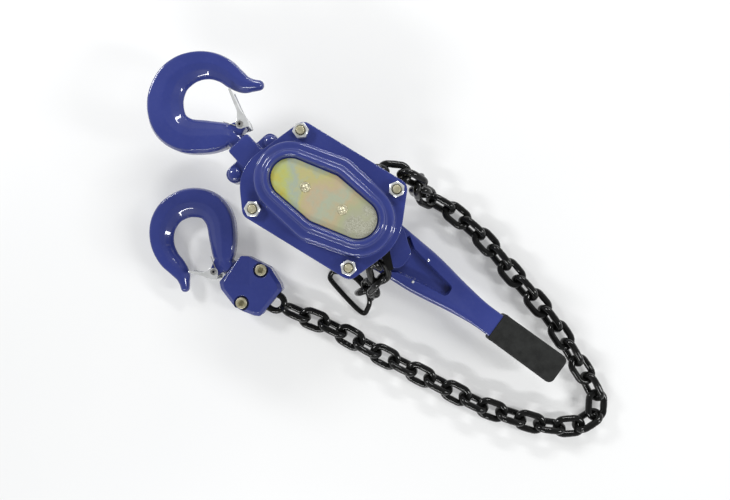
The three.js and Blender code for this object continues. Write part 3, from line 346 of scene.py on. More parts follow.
def blue_paint(name, pitting):
    """Glossy blue enamel; castings show more of the surface under it than pressings do."""
    tree = Tree(name)
    broad = tree.noise(14, detail=4)
    fine = tree.noise(220, detail=3)
    base = tree.ramp(broad, [(0.3, (0.026, 0.038, 0.185)), (0.7, (0.034, 0.048, 0.222))])
    dusty = tree.veil(fine, 0.5, 0.8, 0.07, base, (0.11, 0.12, 0.25))
    tree.colour(tree.veil(tree.edges(0.53, 0.62), 0.0, 1.0, 0.3, dusty, (0.12, 0.14, 0.34)))
    tree.roughness(broad, 0.3, 0.42)
    tree.bump([(tree.noise(55, detail=2), 0.2 * pitting, 0.5), (tree.noise(420, detail=2), 0.035, 0.4),
               (tree.noise(900, detail=2), 0.02 * pitting, 0.5)])
    tree.fixed(Coat_Weight=1.0, Coat_Roughness=0.035, Specular_IOR_Level=0.12)
    return tree.material


def passivated_zinc(name):
    """Yellow chromate over zinc: fine stains and scratches."""
    tree = Tree(name)
    stains = tree.noise(120, detail=4, rough=0.65, distortion=0.6)
    grain = tree.noise(900, detail=4, rough=0.7)
    plain = tree.ramp(stains, [(0.35, (0.50, 0.46, 0.29)), (0.65, (0.66, 0.62, 0.45))])
    speckle = tree.ramp(grain, [(0.35, (0.72, 0.72, 0.70)), (0.6, (1, 1, 1))])
    tree.colour(tree.mix(0.5, plain, speckle, "MULTIPLY"))
    tree.roughness(stains, 0.28, 0.5)
    tree.bump([(stains, 0.06, 0.35), (grain, 0.02, 0.4)])
    tree.fixed(Metallic=0.6)
    return tree.material


def rainbow_zinc(name, middle, reach):
    """A chromated sheet: interference tints drift along it, and its far end is scratched bright."""
    tree = Tree(name)
    along_panel = tree.node("SeparateXYZ", Vector=tree.place).outputs["X"]
    share = tree.span(along_panel, 0, 1, (middle - reach) * MM, (middle + reach) * MM)
    drift = tree.span(tree.noise(20, detail=6, rough=0.6), -0.2, 0.2, 0.3, 0.7)
    total = tree.node("Math")
    tree.link(share, total.inputs[0])
    tree.link(drift, total.inputs[1])
    shifted = total.outputs["Value"]
    tint = tree.ramp(shifted, [
        (0.02, (0.66, 0.58, 0.10)), (0.12, (0.58, 0.62, 0.22)), (0.24, (0.48, 0.55, 0.44)),
        (0.34, (0.62, 0.58, 0.26)), (0.47, (0.64, 0.52, 0.34)), (0.58, (0.52, 0.57, 0.42)),
        (0.68, (0.62, 0.52, 0.32)), (0.82, (0.52, 0.54, 0.33)), (0.97, (0.50, 0.50, 0.38)),
    ])
    grain = tree.noise(1100, detail=4, rough=0.7)
    scuffs = tree.noise(900, detail=4, stretch=(0.7, 1, 1))
    scuffed = tree.ramp(scuffs, [(0.42, (0.36, 0.35, 0.24)), (0.58, (0.66, 0.66, 0.55))])
    tree.colour(tree.veil(shifted, 0.90, 0.98, 0.6, tint, scuffed))
    tree.roughness(scuffs, 0.3, 0.46)
    tree.bump([(scuffs, 0.03, 0.3), (grain, 0.012, 0.35)])
    tree.fixed(Metallic=0.45)
    return tree.material


def bright_zinc(name):
    tree = Tree(name)
    cloud = tree.noise(90, detail=4)
    grain = tree.noise(1300, detail=3)
    tree.colour(tree.ramp(cloud, [(0.3, (0.70, 0.71, 0.70)), (0.7, (0.90, 0.91, 0.91))]))
    tree.roughness(cloud, 0.14, 0.28)
    tree.bump([(cloud, 0.05, 0.3), (grain, 0.015, 0.35)])
    tree.fixed(Metallic=0.5)
    return tree.material


def machined_steel(name):
    tree = Tree(name)
    cloud = tree.noise(50, detail=4)
    cuts = tree.noise(1500, detail=2, stretch=(0.1, 0.1, 1))
    oil = tree.ramp(cloud, [(0.3, (0.26, 0.25, 0.235)), (0.7, (0.42, 0.415, 0.40))])
    tree.colour(tree.veil(tree.edges(0.51, 0.58), 0.0, 1.0, 0.6, oil, (0.62, 0.62, 0.61)))
    tree.roughness(cuts, 0.28, 0.5)
    tree.bump([(cuts, 0.02, 0.4)])
    tree.fixed(Metallic=0.9)
    return tree.material


def blackened_chain(name):
    """Black oxide on welded links, flecked grey here and there."""
    tree = Tree(name)
    cloud = tree.noise(70, detail=5, rough=0.6)
    grain = tree.noise(650, detail=4, rough=0.6)
    black = tree.ramp(cloud, [(0.3, (0.004, 0.004, 0.004)), (0.7, (0.010, 0.010, 0.0095))])
    tree.colour(tree.veil(grain, 0.6, 0.85, 0.15, black, (0.04, 0.038, 0.035)))
    tree.roughness(cloud, 0.26, 0.4)
    tree.bump([(cloud, 0.2, 0.5), (grain, 0.03, 0.4)])
    tree.fixed(Coat_Weight=1.0, Coat_Roughness=0.045, Coat_IOR=1.4, Specular_IOR_Level=0.0)
    return tree.material


def grip_rubber(name):
    tree = Tree(name)
    cloud = tree.noise(75, detail=5, rough=0.65)
    grain = tree.noise(1100, detail=4, rough=0.7)
    pores = tree.cells(900)
    dusty = tree.ramp(cloud, [(0.35, (0.006, 0.0065, 0.006)), (0.65, (0.017, 0.018, 0.017))])
    tree.colour(tree.veil(grain, 0.5, 0.8, 0.3, dusty, (0.045, 0.047, 0.044)))
    tree.roughness(cloud, 0.5, 0.7)
    tree.bump([(grain, 0.06, 0.5), (pores, 0.05, 0.4)])
    tree.fixed(Specular_IOR_Level=0.25)
    return tree.material


def friction_lining(name):
    tree = Tree(name)
    grain = tree.noise(800, detail=5, rough=0.7)
    flakes = tree.cells(1200)
    tree.colour(tree.mix(tree.ramp(flakes, [(0.1, (0.5, 0.5, 0.5)), (0.3, (0, 0, 0))]),
                         tree.ramp(grain, [(0.3, (0.07, 0.045, 0.03)), (0.7, (0.13, 0.10, 0.07))]),
                         (0.35, 0.26, 0.16)))
    tree.roughness(grain, 0.75, 0.95)
    tree.bump([(grain, 0.08, 0.5)])
    return tree.material


def black_plastic(name):
    tree = Tree(name)
    cloud = tree.noise(60, detail=3)
    grain = tree.noise(1600, detail=2)
    tree.colour(tree.ramp(cloud, [(0.3, (0.012, 0.012, 0.013)), (0.7, (0.024, 0.024, 0.026))]))
    tree.roughness(cloud, 0.38, 0.52)
    tree.bump([(grain, 0.03, 0.4)])
    return tree.material


# Each finish: its material, and the name of the material slot that it fills.
FINISHES = {
    "casting": (blue_paint("blue_enamel_on_forging", 1.0), "blue_paint"),
    "pressing": (blue_paint("blue_enamel_on_pressing", 0.12), "blue_paint"),
    "panel": (rainbow_zinc("yellow_chromate_panel", SHAFT_X, 76), "yellow_zinc"),
    "yellow_zinc": (passivated_zinc("yellow_chromate"), "yellow_zinc"),
    "bright_zinc": (bright_zinc("bright_zinc_plate"), "bright_zinc"),
    "steel": (machined_steel("machined_steel"), "steel"),
    "chain": (blackened_chain("black_chain_oxide"), "black_chain"),
    "rubber": (grip_rubber("moulded_rubber"), "grip_rubber"),
    "lining": (friction_lining("brake_lining"), "friction_lining"),
    "plastic": (black_plastic("moulded_plastic"), "black_plastic"),
}

# ---- outlines, in millimetres


def polar(radius, angle):
    return Vector((radius * math.cos(angle), radius * math.sin(angle)))


def rounded(corners, steps=8):
    """A polygon whose corners (x, y, radius) become arcs of steps + 1 points each."""
    points = []
    for i, (x, y, radius) in enumerate(corners):
        here = Vector((x, y))
        back = Vector(corners[i - 1][:2]) - here
        ahead = Vector(corners[(i + 1) % len(corners)][:2]) - here
        half = back.angle(ahead) / 2
        room = 0.49 * min(back.length, ahead.length)
        radius = max(min(radius, room * math.tan(half)), 0.02)
        start = here + back.normalized() * radius / math.tan(half)
        middle = (back.normalized() + ahead.normalized()).normalized()
        centre = here + middle * radius / math.sin(half)
        side = 1 if back.cross(ahead) < 0 else -1
        for j in range(steps + 1):
            turn = side * (math.pi - 2 * half) * j / steps
            arm = start - centre
            points.append(centre + polar(arm.length, math.atan2(arm.y, arm.x) + turn))
    return points


def circle(radius, x=0, y=0, steps=48, first=0.0):
    return [Vector((x, y)) + polar(radius, first + 2 * math.pi * i / steps) for i in range(steps)]


def inset(points, distance):
    """The outline moved inwards, each point along the mitre of its two sides."""
    moved = []
    for i, point in enumerate(points):
        first = point - points[i - 1]
        second = points[(i + 1) % len(points)] - point
        if first.length < 1e-6:
            first = point - points[i - 2]
        if second.length < 1e-6:
            second = points[(i + 2) % len(points)] - point
        first = Vector((-first.y, first.x)).normalized()
        second = Vector((-second.y, second.x)).normalized()
        mitre = (first + second).normalized()
        moved.append(point + mitre * distance / max(mitre.dot(first), 0.5))
    return moved


def wrapped(circles, steps):
    """The outline of a band pulled round circles (x, y, radius), sampled by direction."""
    points = []
    for i in range(steps):
        normal = polar(1, 2 * math.pi * i / steps)
        x, y, radius = max(circles, key=lambda c: c[0] * normal.x + c[1] * normal.y + c[2])
        points.append(Vector((x, y)) + normal * radius)
    return points


def curve_through(points, steps, closed=False):
    """Catmull-Rom curve through points, with steps points to each stretch."""
    points = [Vector(p) for p in points]
    count = len(points)
    result = []
    stretches = count if closed else count - 1
    for i in range(stretches):
        if closed:
            a, b, c, d = (points[(i + k) % count] for k in (-1, 0, 1, 2))
        else:
            b, c = points[i], points[i + 1]
            a = points[i - 1] if i else 2 * b - c
            d = points[i + 2] if i + 2 < count else 2 * c - b
        for j in range(steps):
            t = j / steps
            result.append(0.5 * (2 * b + (c - a) * t + (2 * a - 5 * b + 4 * c - d) * t * t
                                 + (3 * b - a - 3 * c + d) * t * t * t))
    if not closed:
        result.append(points[-1])
    return result


# ---- skins and pieces


class Skin:
    """Points and faces of one piece, drawn in millimetres in a local frame."""

    def __init__(self):
        self.points = []
        self.faces = []

    def ring(self, points, z=None):
        """Adds a loop of points, flat ones at height z, and gives their numbers."""
        first = len(self.points)
        for point in points:
            self.points.append(Vector((point.x, point.y, z)) if z is not None else Vector(point))
        return list(range(first, len(self.points)))

    def strip(self, first, second):
        """Faces between two closed loops of as many points."""
        for i in range(len(first)):
            j = (i + 1) % len(first)
            self.faces.append((first[i], first[j], second[j], second[i]))

    def strips(self, rings):
        for first, second in zip(rings, rings[1:]):
            self.strip(first, second)

    def fill(self, outer, holes=()):
        """Flat faces inside a loop and round its holes."""
        loops = [outer, *holes]
        flat = [index for loop in loops for index in loop]
        triangles = tessellate_polygon([[self.points[index] for index in loop] for loop in loops])
        self.faces.extend(tuple(flat[k] for k in triangle) for triangle in triangles)

    def cap(self, ring):
        """Closes a ring with a fan about its middle."""
        middle = sum((self.points[index] for index in ring), Vector()) / len(ring)
        self.points.append(middle)
        centre = len(self.points) - 1
        for i in range(len(ring)):
            self.faces.append((ring[i], ring[(i + 1) % len(ring)], centre))

    def wall(self, outline, z0, z1, edge0, edge1, steps):
        """Rings up a wall whose lower and upper rims are rounded; holes take negative edges."""
        rings = []
        for edge, z, side in ((edge0, z0, 1), (edge1, z1, -1)):
            arc = []
            for i in range(steps + 1):
                turn = math.pi / 2 * i / steps
                level = z + side * abs(edge) * (1 - math.cos(turn))
                arc.append((edge * (1 - math.sin(turn)), level))
            rings.extend(arc if side > 0 else arc[::-1])
        made = [self.ring(inset(outline, distance), level) for distance, level in rings]
        self.strips(made)
        return made[0], made[-1]

    def slab(self, outline, z0, z1, edge=0.5, holes=(), steps=3):
        """A plate from z0 to z1 with rounded rims, and holes through it."""
        low, high = self.wall(outline, z0, z1, edge, edge, steps)
        rims = [self.wall(hole, z0, z1, -edge, -edge, steps) for hole in holes]
        self.fill(low, [rim[0] for rim in rims])
        self.fill(high, [rim[1] for rim in rims])

    def turned(self, profile, steps, centre=(0, 0), matrix=None):
        """A profile of (radius, z) turned about Z; it is closed at the axis or on itself."""
        rings = []
        first = len(self.points)
        for radius, z in profile:
            if radius < 1e-6:
                rings.append(self.ring([Vector((centre[0], centre[1]))], z))
            else:
                rings.append(self.ring(circle(radius, *centre, steps), z))
        for a, b in zip(rings, rings[1:]):
            if len(a) == len(b):
                self.strip(a, b)
            else:
                tip, rim = (a[0], b) if len(a) == 1 else (b[0], a)
                self.faces.extend((rim[i], rim[(i + 1) % steps], tip) for i in range(steps))
        if len(rings[0]) > 1 and len(rings[-1]) > 1:
            self.strip(rings[-1], rings[0])
        if matrix:
            for i in range(first, len(self.points)):
                self.points[i] = matrix @ self.points[i]

    def tube(self, path, radius, sides, closed=False):
        """A round bar along a path of points; radius may be a number or one for each point."""
        count = len(path)
        radii = radius if isinstance(radius, list) else [radius] * count
        rings = []
        across = None
        for i, point in enumerate(path):
            if closed:
                ahead = path[(i + 1) % count] - path[i - 1]
            else:
                ahead = path[min(i + 1, count - 1)] - path[max(i - 1, 0)]
            ahead.normalize()
            if across is None:
                across = ahead.orthogonal().normalized()
            across = (across - ahead * across.dot(ahead)).normalized()
            other = ahead.cross(across)
            rings.append(self.ring([point + across * spot.x + other * spot.y
                                    for spot in circle(radii[i], steps=sides)]))
        self.strips(rings)
        if closed:
            self.join_turned(rings[-1], rings[0])
        else:
            self.cap(rings[0])
            self.cap(rings[-1])

    def join_turned(self, last, first):
        """Joins two rings whose starting points have drifted round, by the nearest pairing."""
        count = len(last)
        start = self.points[last[0]]
        shift = min(range(count), key=lambda k: (self.points[first[k]] - start).length)
        self.strip(last, [first[(k + shift) % count] for k in range(count)])


def soft(profile, radius, steps=2):
    """An open profile of (radius, z) with its inner corners rounded off."""
    result = [profile[0]]
    for before, here, after in zip(profile, profile[1:], profile[2:]):
        here = Vector(here)
        back = Vector(before) - here
        ahead = Vector(after) - here
        reach = min(radius, 0.45 * back.length, 0.45 * ahead.length)
        start = here + back.normalized() * reach
        end = here + ahead.normalized() * reach
        for i in range(steps + 1):
            t = i / steps
            point = start.lerp(here, t).lerp(here.lerp(end, t), t)
            result.append((point.x, point.y))
    result.append(profile[-1])
    return result


def mesh_object(name, mesh):
    piece = bpy.data.objects.new(name, mesh)
    scene.collection.objects.link(piece)
    return piece


@contextmanager
def editing(mesh):
    """Opens a mesh for editing calls and writes the result back."""
    work = bmesh.new()
    work.from_mesh(mesh)
    yield work
    work.to_mesh(mesh)
    work.free()


def skin_mesh(skin, name, matrix):
    mesh = bpy.data.meshes.new(name)
    mesh.from_pydata([matrix @ point for point in skin.points], [], skin.faces)
    with editing(mesh) as work:
        bmesh.ops.remove_doubles(work, verts=work.verts, dist=WELD_DISTANCE)
        bmesh.ops.recalc_face_normals(work, faces=work.faces)
    return mesh


def settle(piece, body, finish, nodes, sharp):
    """Gives a piece its material, its shading, its body and the nodes it stands for."""
    material, slot = FINISHES[finish]
    mesh = piece.data
    mesh.materials.clear()
    mesh.materials.append(material)
    mesh.shade_smooth()
    mesh.set_sharp_from_angle(angle=sharp * DEG)
    weigh = piece.modifiers.new("weighted_normals", "WEIGHTED_NORMAL")
    weigh.keep_sharp = True
    weigh.weight = 80
    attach(piece, body)
    if nodes:
        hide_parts(*nodes)
    return piece


def make(skin, name, body, finish, matrix=HOIST, nodes=(), sharp=SHARP_MACHINED):
    return settle(mesh_object(name, skin_mesh(skin, name, matrix)), body, finish, nodes, sharp)


def applied(piece):
    """Bakes a piece's modifiers into its mesh."""
    graph = bpy.context.evaluated_depsgraph_get()
    mesh = bpy.data.meshes.new_from_object(piece.evaluated_get(graph))
    piece.modifiers.clear()
    piece.data = mesh
    return piece


def forge(piece, voxel, rounds):
    """Melts overlapping solids into one forging with soft edges."""
    remesh = piece.modifiers.new("remesh", "REMESH")
    remesh.mode = "VOXEL"
    remesh.voxel_size = voxel * MM
    smooth = piece.modifiers.new("smooth", "SMOOTH")
    smooth.factor = 0.5
    smooth.iterations = rounds
    return applied(piece)


def node_mesh(node):
    """A clean copy of a CAD node's mesh, in polygons."""
    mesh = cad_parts[node].data.copy()
    with editing(mesh) as work:
        bmesh.ops.remove_doubles(work, verts=work.verts, dist=WELD_DISTANCE)
        bmesh.ops.dissolve_limit(work, angle_limit=0.5 * DEG, verts=work.verts, edges=work.edges)
    return mesh


def refined(node, body, finish, edge):
    """A CAD node with its rims rounded off."""
    piece = mesh_object(node + "_fine", node_mesh(node))
    bevel = piece.modifiers.new("bevel", "BEVEL")
    bevel.width = edge * MM
    bevel.segments = 2
    bevel.limit_method = "ANGLE"
    bevel.angle_limit = SHARP_MACHINED * DEG
    settle(applied(piece), body, finish, [node], SHARP_MACHINED)


def forged_node(node, body, voxel, rounds):
    """A CAD node as a casting with soft edges."""
    piece = forge(mesh_object(node + "_fine", node_mesh(node)), voxel, rounds)
    settle(piece, body, "casting", [node], SHARP_ROUNDED)


# ---- chain


def link_into(skin, middle, forward, across, length=LINK_LENGTH):
    """A welded round-wire link: straight sides, half-round crowns, and a bead where it was welded."""
    forward = forward.normalized()
    across = (across - forward * across.dot(forward)).normalized()
    half_width = (LINK_WIDTH - WIRE) / 2
    straight = (length - WIRE) / 2 - half_width
    path = []
    radii = []
    for side in (1, -1):
        for i in range(5):
            t = i / 5
            path.append(middle + forward * straight * side * (2 * t - 1) - across * half_width * side)
            bead = 0.06 * math.exp(-((t - 0.5) / 0.16) ** 2) if side > 0 else 0
            radii.append(WIRE / 2 * (1 + bead))
        for i in range(12):
            angle = math.pi * i / 12
            path.append(middle + forward * side * (straight + half_width * math.sin(angle))
                        - across * half_width * side * math.cos(angle))
            radii.append(WIRE / 2)
    skin.tube(path, radii, sides=14, closed=True)


def walk(path, distance):
    """The point at a distance along a dense path."""
    for first, second in zip(path, path[1:]):
        step = (second - first).length
        if distance <= step:
            return first.lerp(second, distance / step)
        distance -= step
    return path[-1]


def make_load_chain():
    """Links of the free chain alternate between lying flat and standing on edge."""
    dice = random.Random(7)
    path = curve_through(CHAIN_ROUTE, 10)
    total = sum((b - a).length for a, b in zip(path, path[1:]))
    count = 2 * round((total / PITCH - 1) / 2) + 1
    step = total / count
    skin = Skin()
    level = None
    for i in range(count):
        before = walk(path, i * step)
        after = walk(path, (i + 1) * step)
        forward = (after - before).normalized()
        middle = walk(path, (i + 0.5) * step).lerp((before + after) / 2, 0.7)
        flat = forward.cross(UP)
        level = flat.normalized() if abs(forward.z) < 0.75 or level is None else level
        standing = forward.cross(level)
        lean = CHAIN_LEAN + dice.uniform(-5, 5)
        turn = (90 - lean) * DEG if i % 2 == 0 else dice.uniform(-14, -4) * DEG
        across = level * math.cos(turn) + standing * math.sin(turn)
        link_into(skin, middle, forward, across)
    piece = make(skin, "load_chain_links", "frame", "chain", nodes=["load_chain"], sharp=SHARP_ROUNDED)


def joint_on_sheave(degrees):
    """Where two links meet on the sheave, at an angle round it."""
    return Vector((*polar(CHAIN_JOINT_R, degrees * DEG), SHEAVE_Z))


def make_links(name, node, links):
    """One piece of chain from links, each (middle, forward, across) and perhaps a length."""
    skin = Skin()
    for link in links:
        link_into(skin, *link)
    make(skin, name, "frame", "chain", nodes=[node], sharp=SHARP_ROUNDED)


def make_sheave_chain():
    """Four links in the sheave's pockets, then the ones that lead to the free chain and the tail."""
    links = []
    for i in range(4):
        start = joint_on_sheave(112.5 + 45 * i)
        end = joint_on_sheave(157.5 + 45 * i)
        radial = Vector((start.x + end.x, start.y + end.y, 0)).normalized()
        sink = radial * (CHAIN_CENTRE_R - CHAIN_JOINT_R * math.cos(22.5 * DEG))
        links.append(((start + end) / 2 + sink, end - start, radial if i % 2 else UP))
    start = joint_on_sheave(112.5)
    leaving = (Vector(CHAIN_ROUTE[0]) - start).normalized()
    links.append((start + leaving * PITCH / 2, leaving, leaving.cross(UP)))
    last = joint_on_sheave(292.5)
    tail = Vector(TAIL_ROUTE[0])
    links.append(((last + tail) / 2, tail - last, UP))
    make_links("sheave_chain_links", "chain_on_sheave", links)


def make_tail_chain():
    """The tail's links bear on each other at the route's points, and the last one on the end ring."""
    points = [Vector(point) for point in TAIL_ROUTE]
    links = []
    for i, (start, end) in enumerate(zip(points, points[1:])):
        forward = end - start
        level = Vector((-forward.y, forward.x, 0)).normalized()
        side = forward.cross(level) if i % 2 else level
        links.append(((start + end) / 2, forward, side, forward.length + 2 * WIRE))
    make_links("tail_chain_links", "tail_chain", links)

    skin = Skin()
    skin.tube(curve_through(END_RING, 14, closed=True), RING_WIRE_R, sides=16, closed=True)
    for ear in END_RING_EARS:
        skin.slab(rounded([(x, y, 2) for x, y in ear], 4), *END_RING_EAR_Z, 0.6)
    make(skin, "end_ring_wire", "frame", "chain", nodes=["chain_end_ring"], sharp=SHARP_ROUNDED)


def make_end_link():
    """The free chain's last link, which hangs on the block's anchor pin."""
    pin = along(BLOCK_CENTRE, BLOCK_ANGLE, ANCHOR_X)
    heading = polar(1, END_LINK_ANGLE).to_3d()
    middle = Vector((*pin, BLOCK_Z)) + heading * (PITCH / 2 - 5.1)
    make_links("end_link_wire", "end_link", [(middle, heading, heading.cross(UP))])


# ---- body

# Levels of the dome: radius of its ends, half its height across the middle, and z.
DOME_OUTSIDE = [(51.6, 62.6, 146), (50.4, 61.4, 146.2), (49.5, 60.5, 146.6), (49, 60, 147.2),
                (48.6, 59.6, 150), (48.3, 59.3, 156), (48.0, 59.0, 159.2),
                (47.5, 58.4, 160.9), (46.4, 57.1, 162.1), (44.9, 55.4, 162.8), (42.4, 52.9, 163.2),
                (38.9, 49.1, 163.8), (37.6, 47.7, 164.4), (36.6, 46.6, 165.6), (35.5, 45.4, 168.0),
                (34.7, 44.5, 169.8), (33.7, 43.3, 171.0), (32.3, 41.7, 171.6), (30.6, 39.8, 171.8),
                (29.2, 38.2, 171.2), (28.1, 37.0, 169.4), (27.3, 36.1, 166.8), (26.7, 35.4, 164.4),
                (26.2, 34.7, 163.1), (25.8, 34.2, 162.7)]
DOME_INSIDE = [(46, 57, 142.3), (45.2, 56.2, 156.5), (43.4, 54.2, 159.6), (36.8, 46.9, 160.6),
               (32.4, 42, 166.8), (30.6, 40, 167.6), (28.7, 37, 159.6)]


def body_outline(nose):
    """The outline shared by the cover and both side plates, whose rounded nose reaches the given x."""
    return rounded([(-79.5, 74.8, 14), (-120, -24.4, 55), (-81.5, -74.8, 14), (84.4, -74.8, 14),
                    (nose, 1.3, 70), (83, 74.8, 14)], 12)


def dome(end_radius, half_height):
    """One level of the dome: round ends over the idlers, bulging between them."""
    middle_radius = 0.72 * end_radius
    offset = half_height - middle_radius
    return wrapped([(-GEAR_CENTRES, 0, end_radius), (GEAR_CENTRES, 0, end_radius),
                    (0, offset, middle_radius), (0, -offset, middle_radius)], 240)


def make_cover():
    """The pressed gear cover, the panel in its window and the two rivets that hold the panel."""
    skin = Skin()
    faces = skin.wall(body_outline(COVER_NOSE), *FLANGE_Z, 0.5, 1.2, 4)
    holes = [skin.wall(circle(STAY_HOLE_R, x, y), *FLANGE_Z, -0.3, -0.3, 2) for x, y in STAYS]
    for i, levels in enumerate((DOME_INSIDE, DOME_OUTSIDE)):
        rings = [skin.ring(dome(radius, half), z) for radius, half, z in levels]
        skin.fill(faces[i], [rings[0], *(hole[i] for hole in holes)])
        skin.strips(rings)
        skin.fill(rings[-1])
    make(skin, "gear_cover_pressing", "frame", "pressing", nodes=["gear_cover"], sharp=SHARP_PRESSED)

    skin = Skin()
    seat = PANEL_SEAT_Z + 0.3
    skin.slab(dome(25.5, 33.7), seat, seat + 1.9, 0.9)
    make(skin, "cover_panel_sheet", "frame", "panel", nodes=["cover_panel"])

    top = seat + 1.9
    head = [(0, 160.2), (2.3, 160.2), (2.3, top), (6.8, top), (6.7, top + 0.5), (6.2, top + 0.9),
            (5.5, top + 0.9), (4.7, top + 0.5), (4.0, top + 0.4), (3.3, top + 0.8), (2.2, top + 1.5),
            (1.0, top + 1.8), (0, top + 1.9)]
    for i, side in enumerate((-1, 1)):
        skin = Skin()
        skin.turned(head, 40, (side * PANEL_RIVET_X, 0))
        make(skin, f"panel_rivet_head_{i + 1}", "frame", "yellow_zinc", nodes=[f"panel_rivet_{i + 1}"],
             sharp=SHARP_ROUNDED)


def make_side_plates():
    """The gear-side plate with its idler bearings' holes, and the brake-side plate with a longer nose."""
    top_pin_hole = circle(8.5, *TOP_PIN)
    bearing_hole = circle(23.8, steps=72)
    stay_holes = [circle(STAY_HOLE_R, x, y) for x, y in STAYS]
    idler_holes = [circle(7.5, side * GEAR_CENTRES, 0) for side in (-1, 1)]
    skin = Skin()
    skin.slab(body_outline(COVER_NOSE), *GEAR_PLATE_Z, 0.6,
              [top_pin_hole, bearing_hole, *idler_holes, *stay_holes])
    make(skin, "gear_plate_sheet", "frame", "pressing", nodes=["gear_side_plate"])
    skin = Skin()
    skin.slab(body_outline(BRAKE_PLATE_NOSE), *BRAKE_PLATE_Z, 0.6,
              [top_pin_hole, bearing_hole, *stay_holes])
    make(skin, "brake_plate_sheet", "frame", "yellow_zinc", nodes=["brake_side_plate"])


def hexagon(across_flats, steps_each=12):
    """A hexagon with points along its flats, so that its corners can be chamfered."""
    corners = circle(across_flats / math.sqrt(3), steps=6, first=30 * DEG)
    return [corners[k].lerp(corners[(k + 1) % 6], j / steps_each)
            for k in range(6) for j in range(steps_each)]


def nut_into(skin, z0, z1, across_flats, bore):
    """A nut whose corners are turned off at 30 degrees on both faces."""
    outline = hexagon(across_flats)
    face_radius = across_flats / 2 - 0.4
    rings = []
    hole = circle(bore, steps=len(outline), first=30 * DEG)
    for z, side in ((z0, 1), (z1, -1)):
        face = skin.ring([p.normalized() * face_radius for p in outline], z)
        drops = [max(0.12, (p.length - face_radius) * math.tan(30 * DEG)) for p in outline]
        rim = skin.ring([Vector((*p, z + side * drop)) for p, drop in zip(outline, drops)])
        lip = skin.ring([p.normalized() * (bore + 1.0) for p in hole], z)
        throat = skin.ring(hole, z + side * 2.0)
        order = [throat, lip, face, rim]
        rings.append(order if side > 0 else order[::-1])
    skin.strips(rings[0] + rings[1])
    skin.strip(rings[1][-1], rings[0][0])


def make_stays():
    """Stay bolts with hexagon heads below and threaded ends above, and the nuts on them."""
    thread = [(5.35 if k % 2 else 4.85, 146 + 0.7 * k) for k in range(16)]
    profile = [(0, 84), (5.6, 84), (5.6, 97.3), (6.4, 97.3), (6.4, 136.7), (5.6, 136.7), (5.6, 145.6),
               *thread, (5.2, 157.3), (4.7, 158.2), (4.2, 158.4), (0, 158.4)]
    for i, (x, y) in enumerate(STAYS):
        skin = Skin()
        skin.turned(profile, 40, (x, y))
        skin.slab([Vector((x, y)) + p for p in hexagon(STAY_HEAD_FLATS, 6)], *STAY_HEAD_Z, 0.5)
        make(skin, f"stay_{i + 1}", "frame", "yellow_zinc", nodes=[f"stay_bolt_{i + 1}"], sharp=32)
        skin = Skin()
        nut_into(skin, *NUT_Z, NUT_FLATS, STAY_HOLE_R)
        turn = Matrix.Translation((x, y, 0)) @ Matrix.Rotation((17 * i + 8) * DEG, 4, "Z")
        make(skin, f"nut_{i + 1}", "frame", "bright_zinc", HOIST @ turn, [f"cover_nut_{i + 1}"], sharp=20)


def make_brake_cover():
    """A turned cover over the brake: a flat end, a rounded wall and a rim against the plate."""
    skin = Skin()
    skin.turned(soft([(24, 66.5), (40, 66.5), (57, 66.9), (60, 70), (60, 90), (63, 90), (63, 91.7),
                      (57, 91.7), (57, 69.9), (24, 68.9)], 1.4, 4), 96)
    make(skin, "brake_cover_pressing", "frame", "pressing", nodes=["brake_cover"])


# ---- lever

LEVER_SHARP = 45
LEVER_EDGE = [(46, 44), (100, 38.5), (137, 36), (166, 34), (195, 30), (224, 25), (268, 19), (303.4, 18.3)]
BOSS_EDGE = [(42.5, 33.2), (74, 35.2), (104, 35.0), (113, 32.6), (126, 22.5), (136, 15.5), (140, 8)]
POCKET_EDGE = [(120, 34, 2), (139, 21.5, 8), (166, 16.5, 20), (217, 8.5, 7)]
POCKET_DEPTH = 10
HUB_R = 57
HUB_HOLE_R = 21


def arm_outline(edge, steps, hub_radius, hub_steps):
    """A hub and its arm: an arc round the hub, then the arm's edge on both sides of its middle."""
    upper = curve_through(edge, steps)
    first = math.atan2(upper[0].y, upper[0].x)
    arc = [first + (2 * math.pi - 2 * first) * i / hub_steps for i in range(hub_steps)]
    hub = [polar(hub_radius, angle) for angle in arc]
    return hub + [Vector((p.x, -p.y)) for p in upper] + upper[:0:-1]


def pocket_outline(grow):
    """The deep pocket behind the hub: it tapers from the hub's plate to the grip."""
    edge = [(x + grow * (1 if x > 200 else -1), y + grow, r) for x, y, r in POCKET_EDGE]
    return rounded([(x, -y, r) for x, y, r in edge] + edge[::-1], 8)


def smoothed(value, low, high):
    """Rises smoothly from 0 at low to 1 at high."""
    share = min(max((value - low) / (high - low), 0), 1)
    return share * share * (3 - 2 * share)


def shoulder(point):
    """Radius of the pressed rim: tight round the hub, wide along the arm, tighter at the grip."""
    return 1.6 + 5.4 * smoothed(point.x, 108, 150) - 4 * smoothed(point.x, 225, 290)


def ramp_rings(skin, outline, z0, z1, width):
    """Rings of an S-shaped pressed slope inwards from z0 to z1."""
    rings = []
    for i in range(7):
        share = i / 6
        rings.append(skin.ring(inset(outline, width * share), z0 + (z1 - z0) * smoothed(share, 0, 1)))
    skin.strips(rings)
    return rings[0], rings[-1]


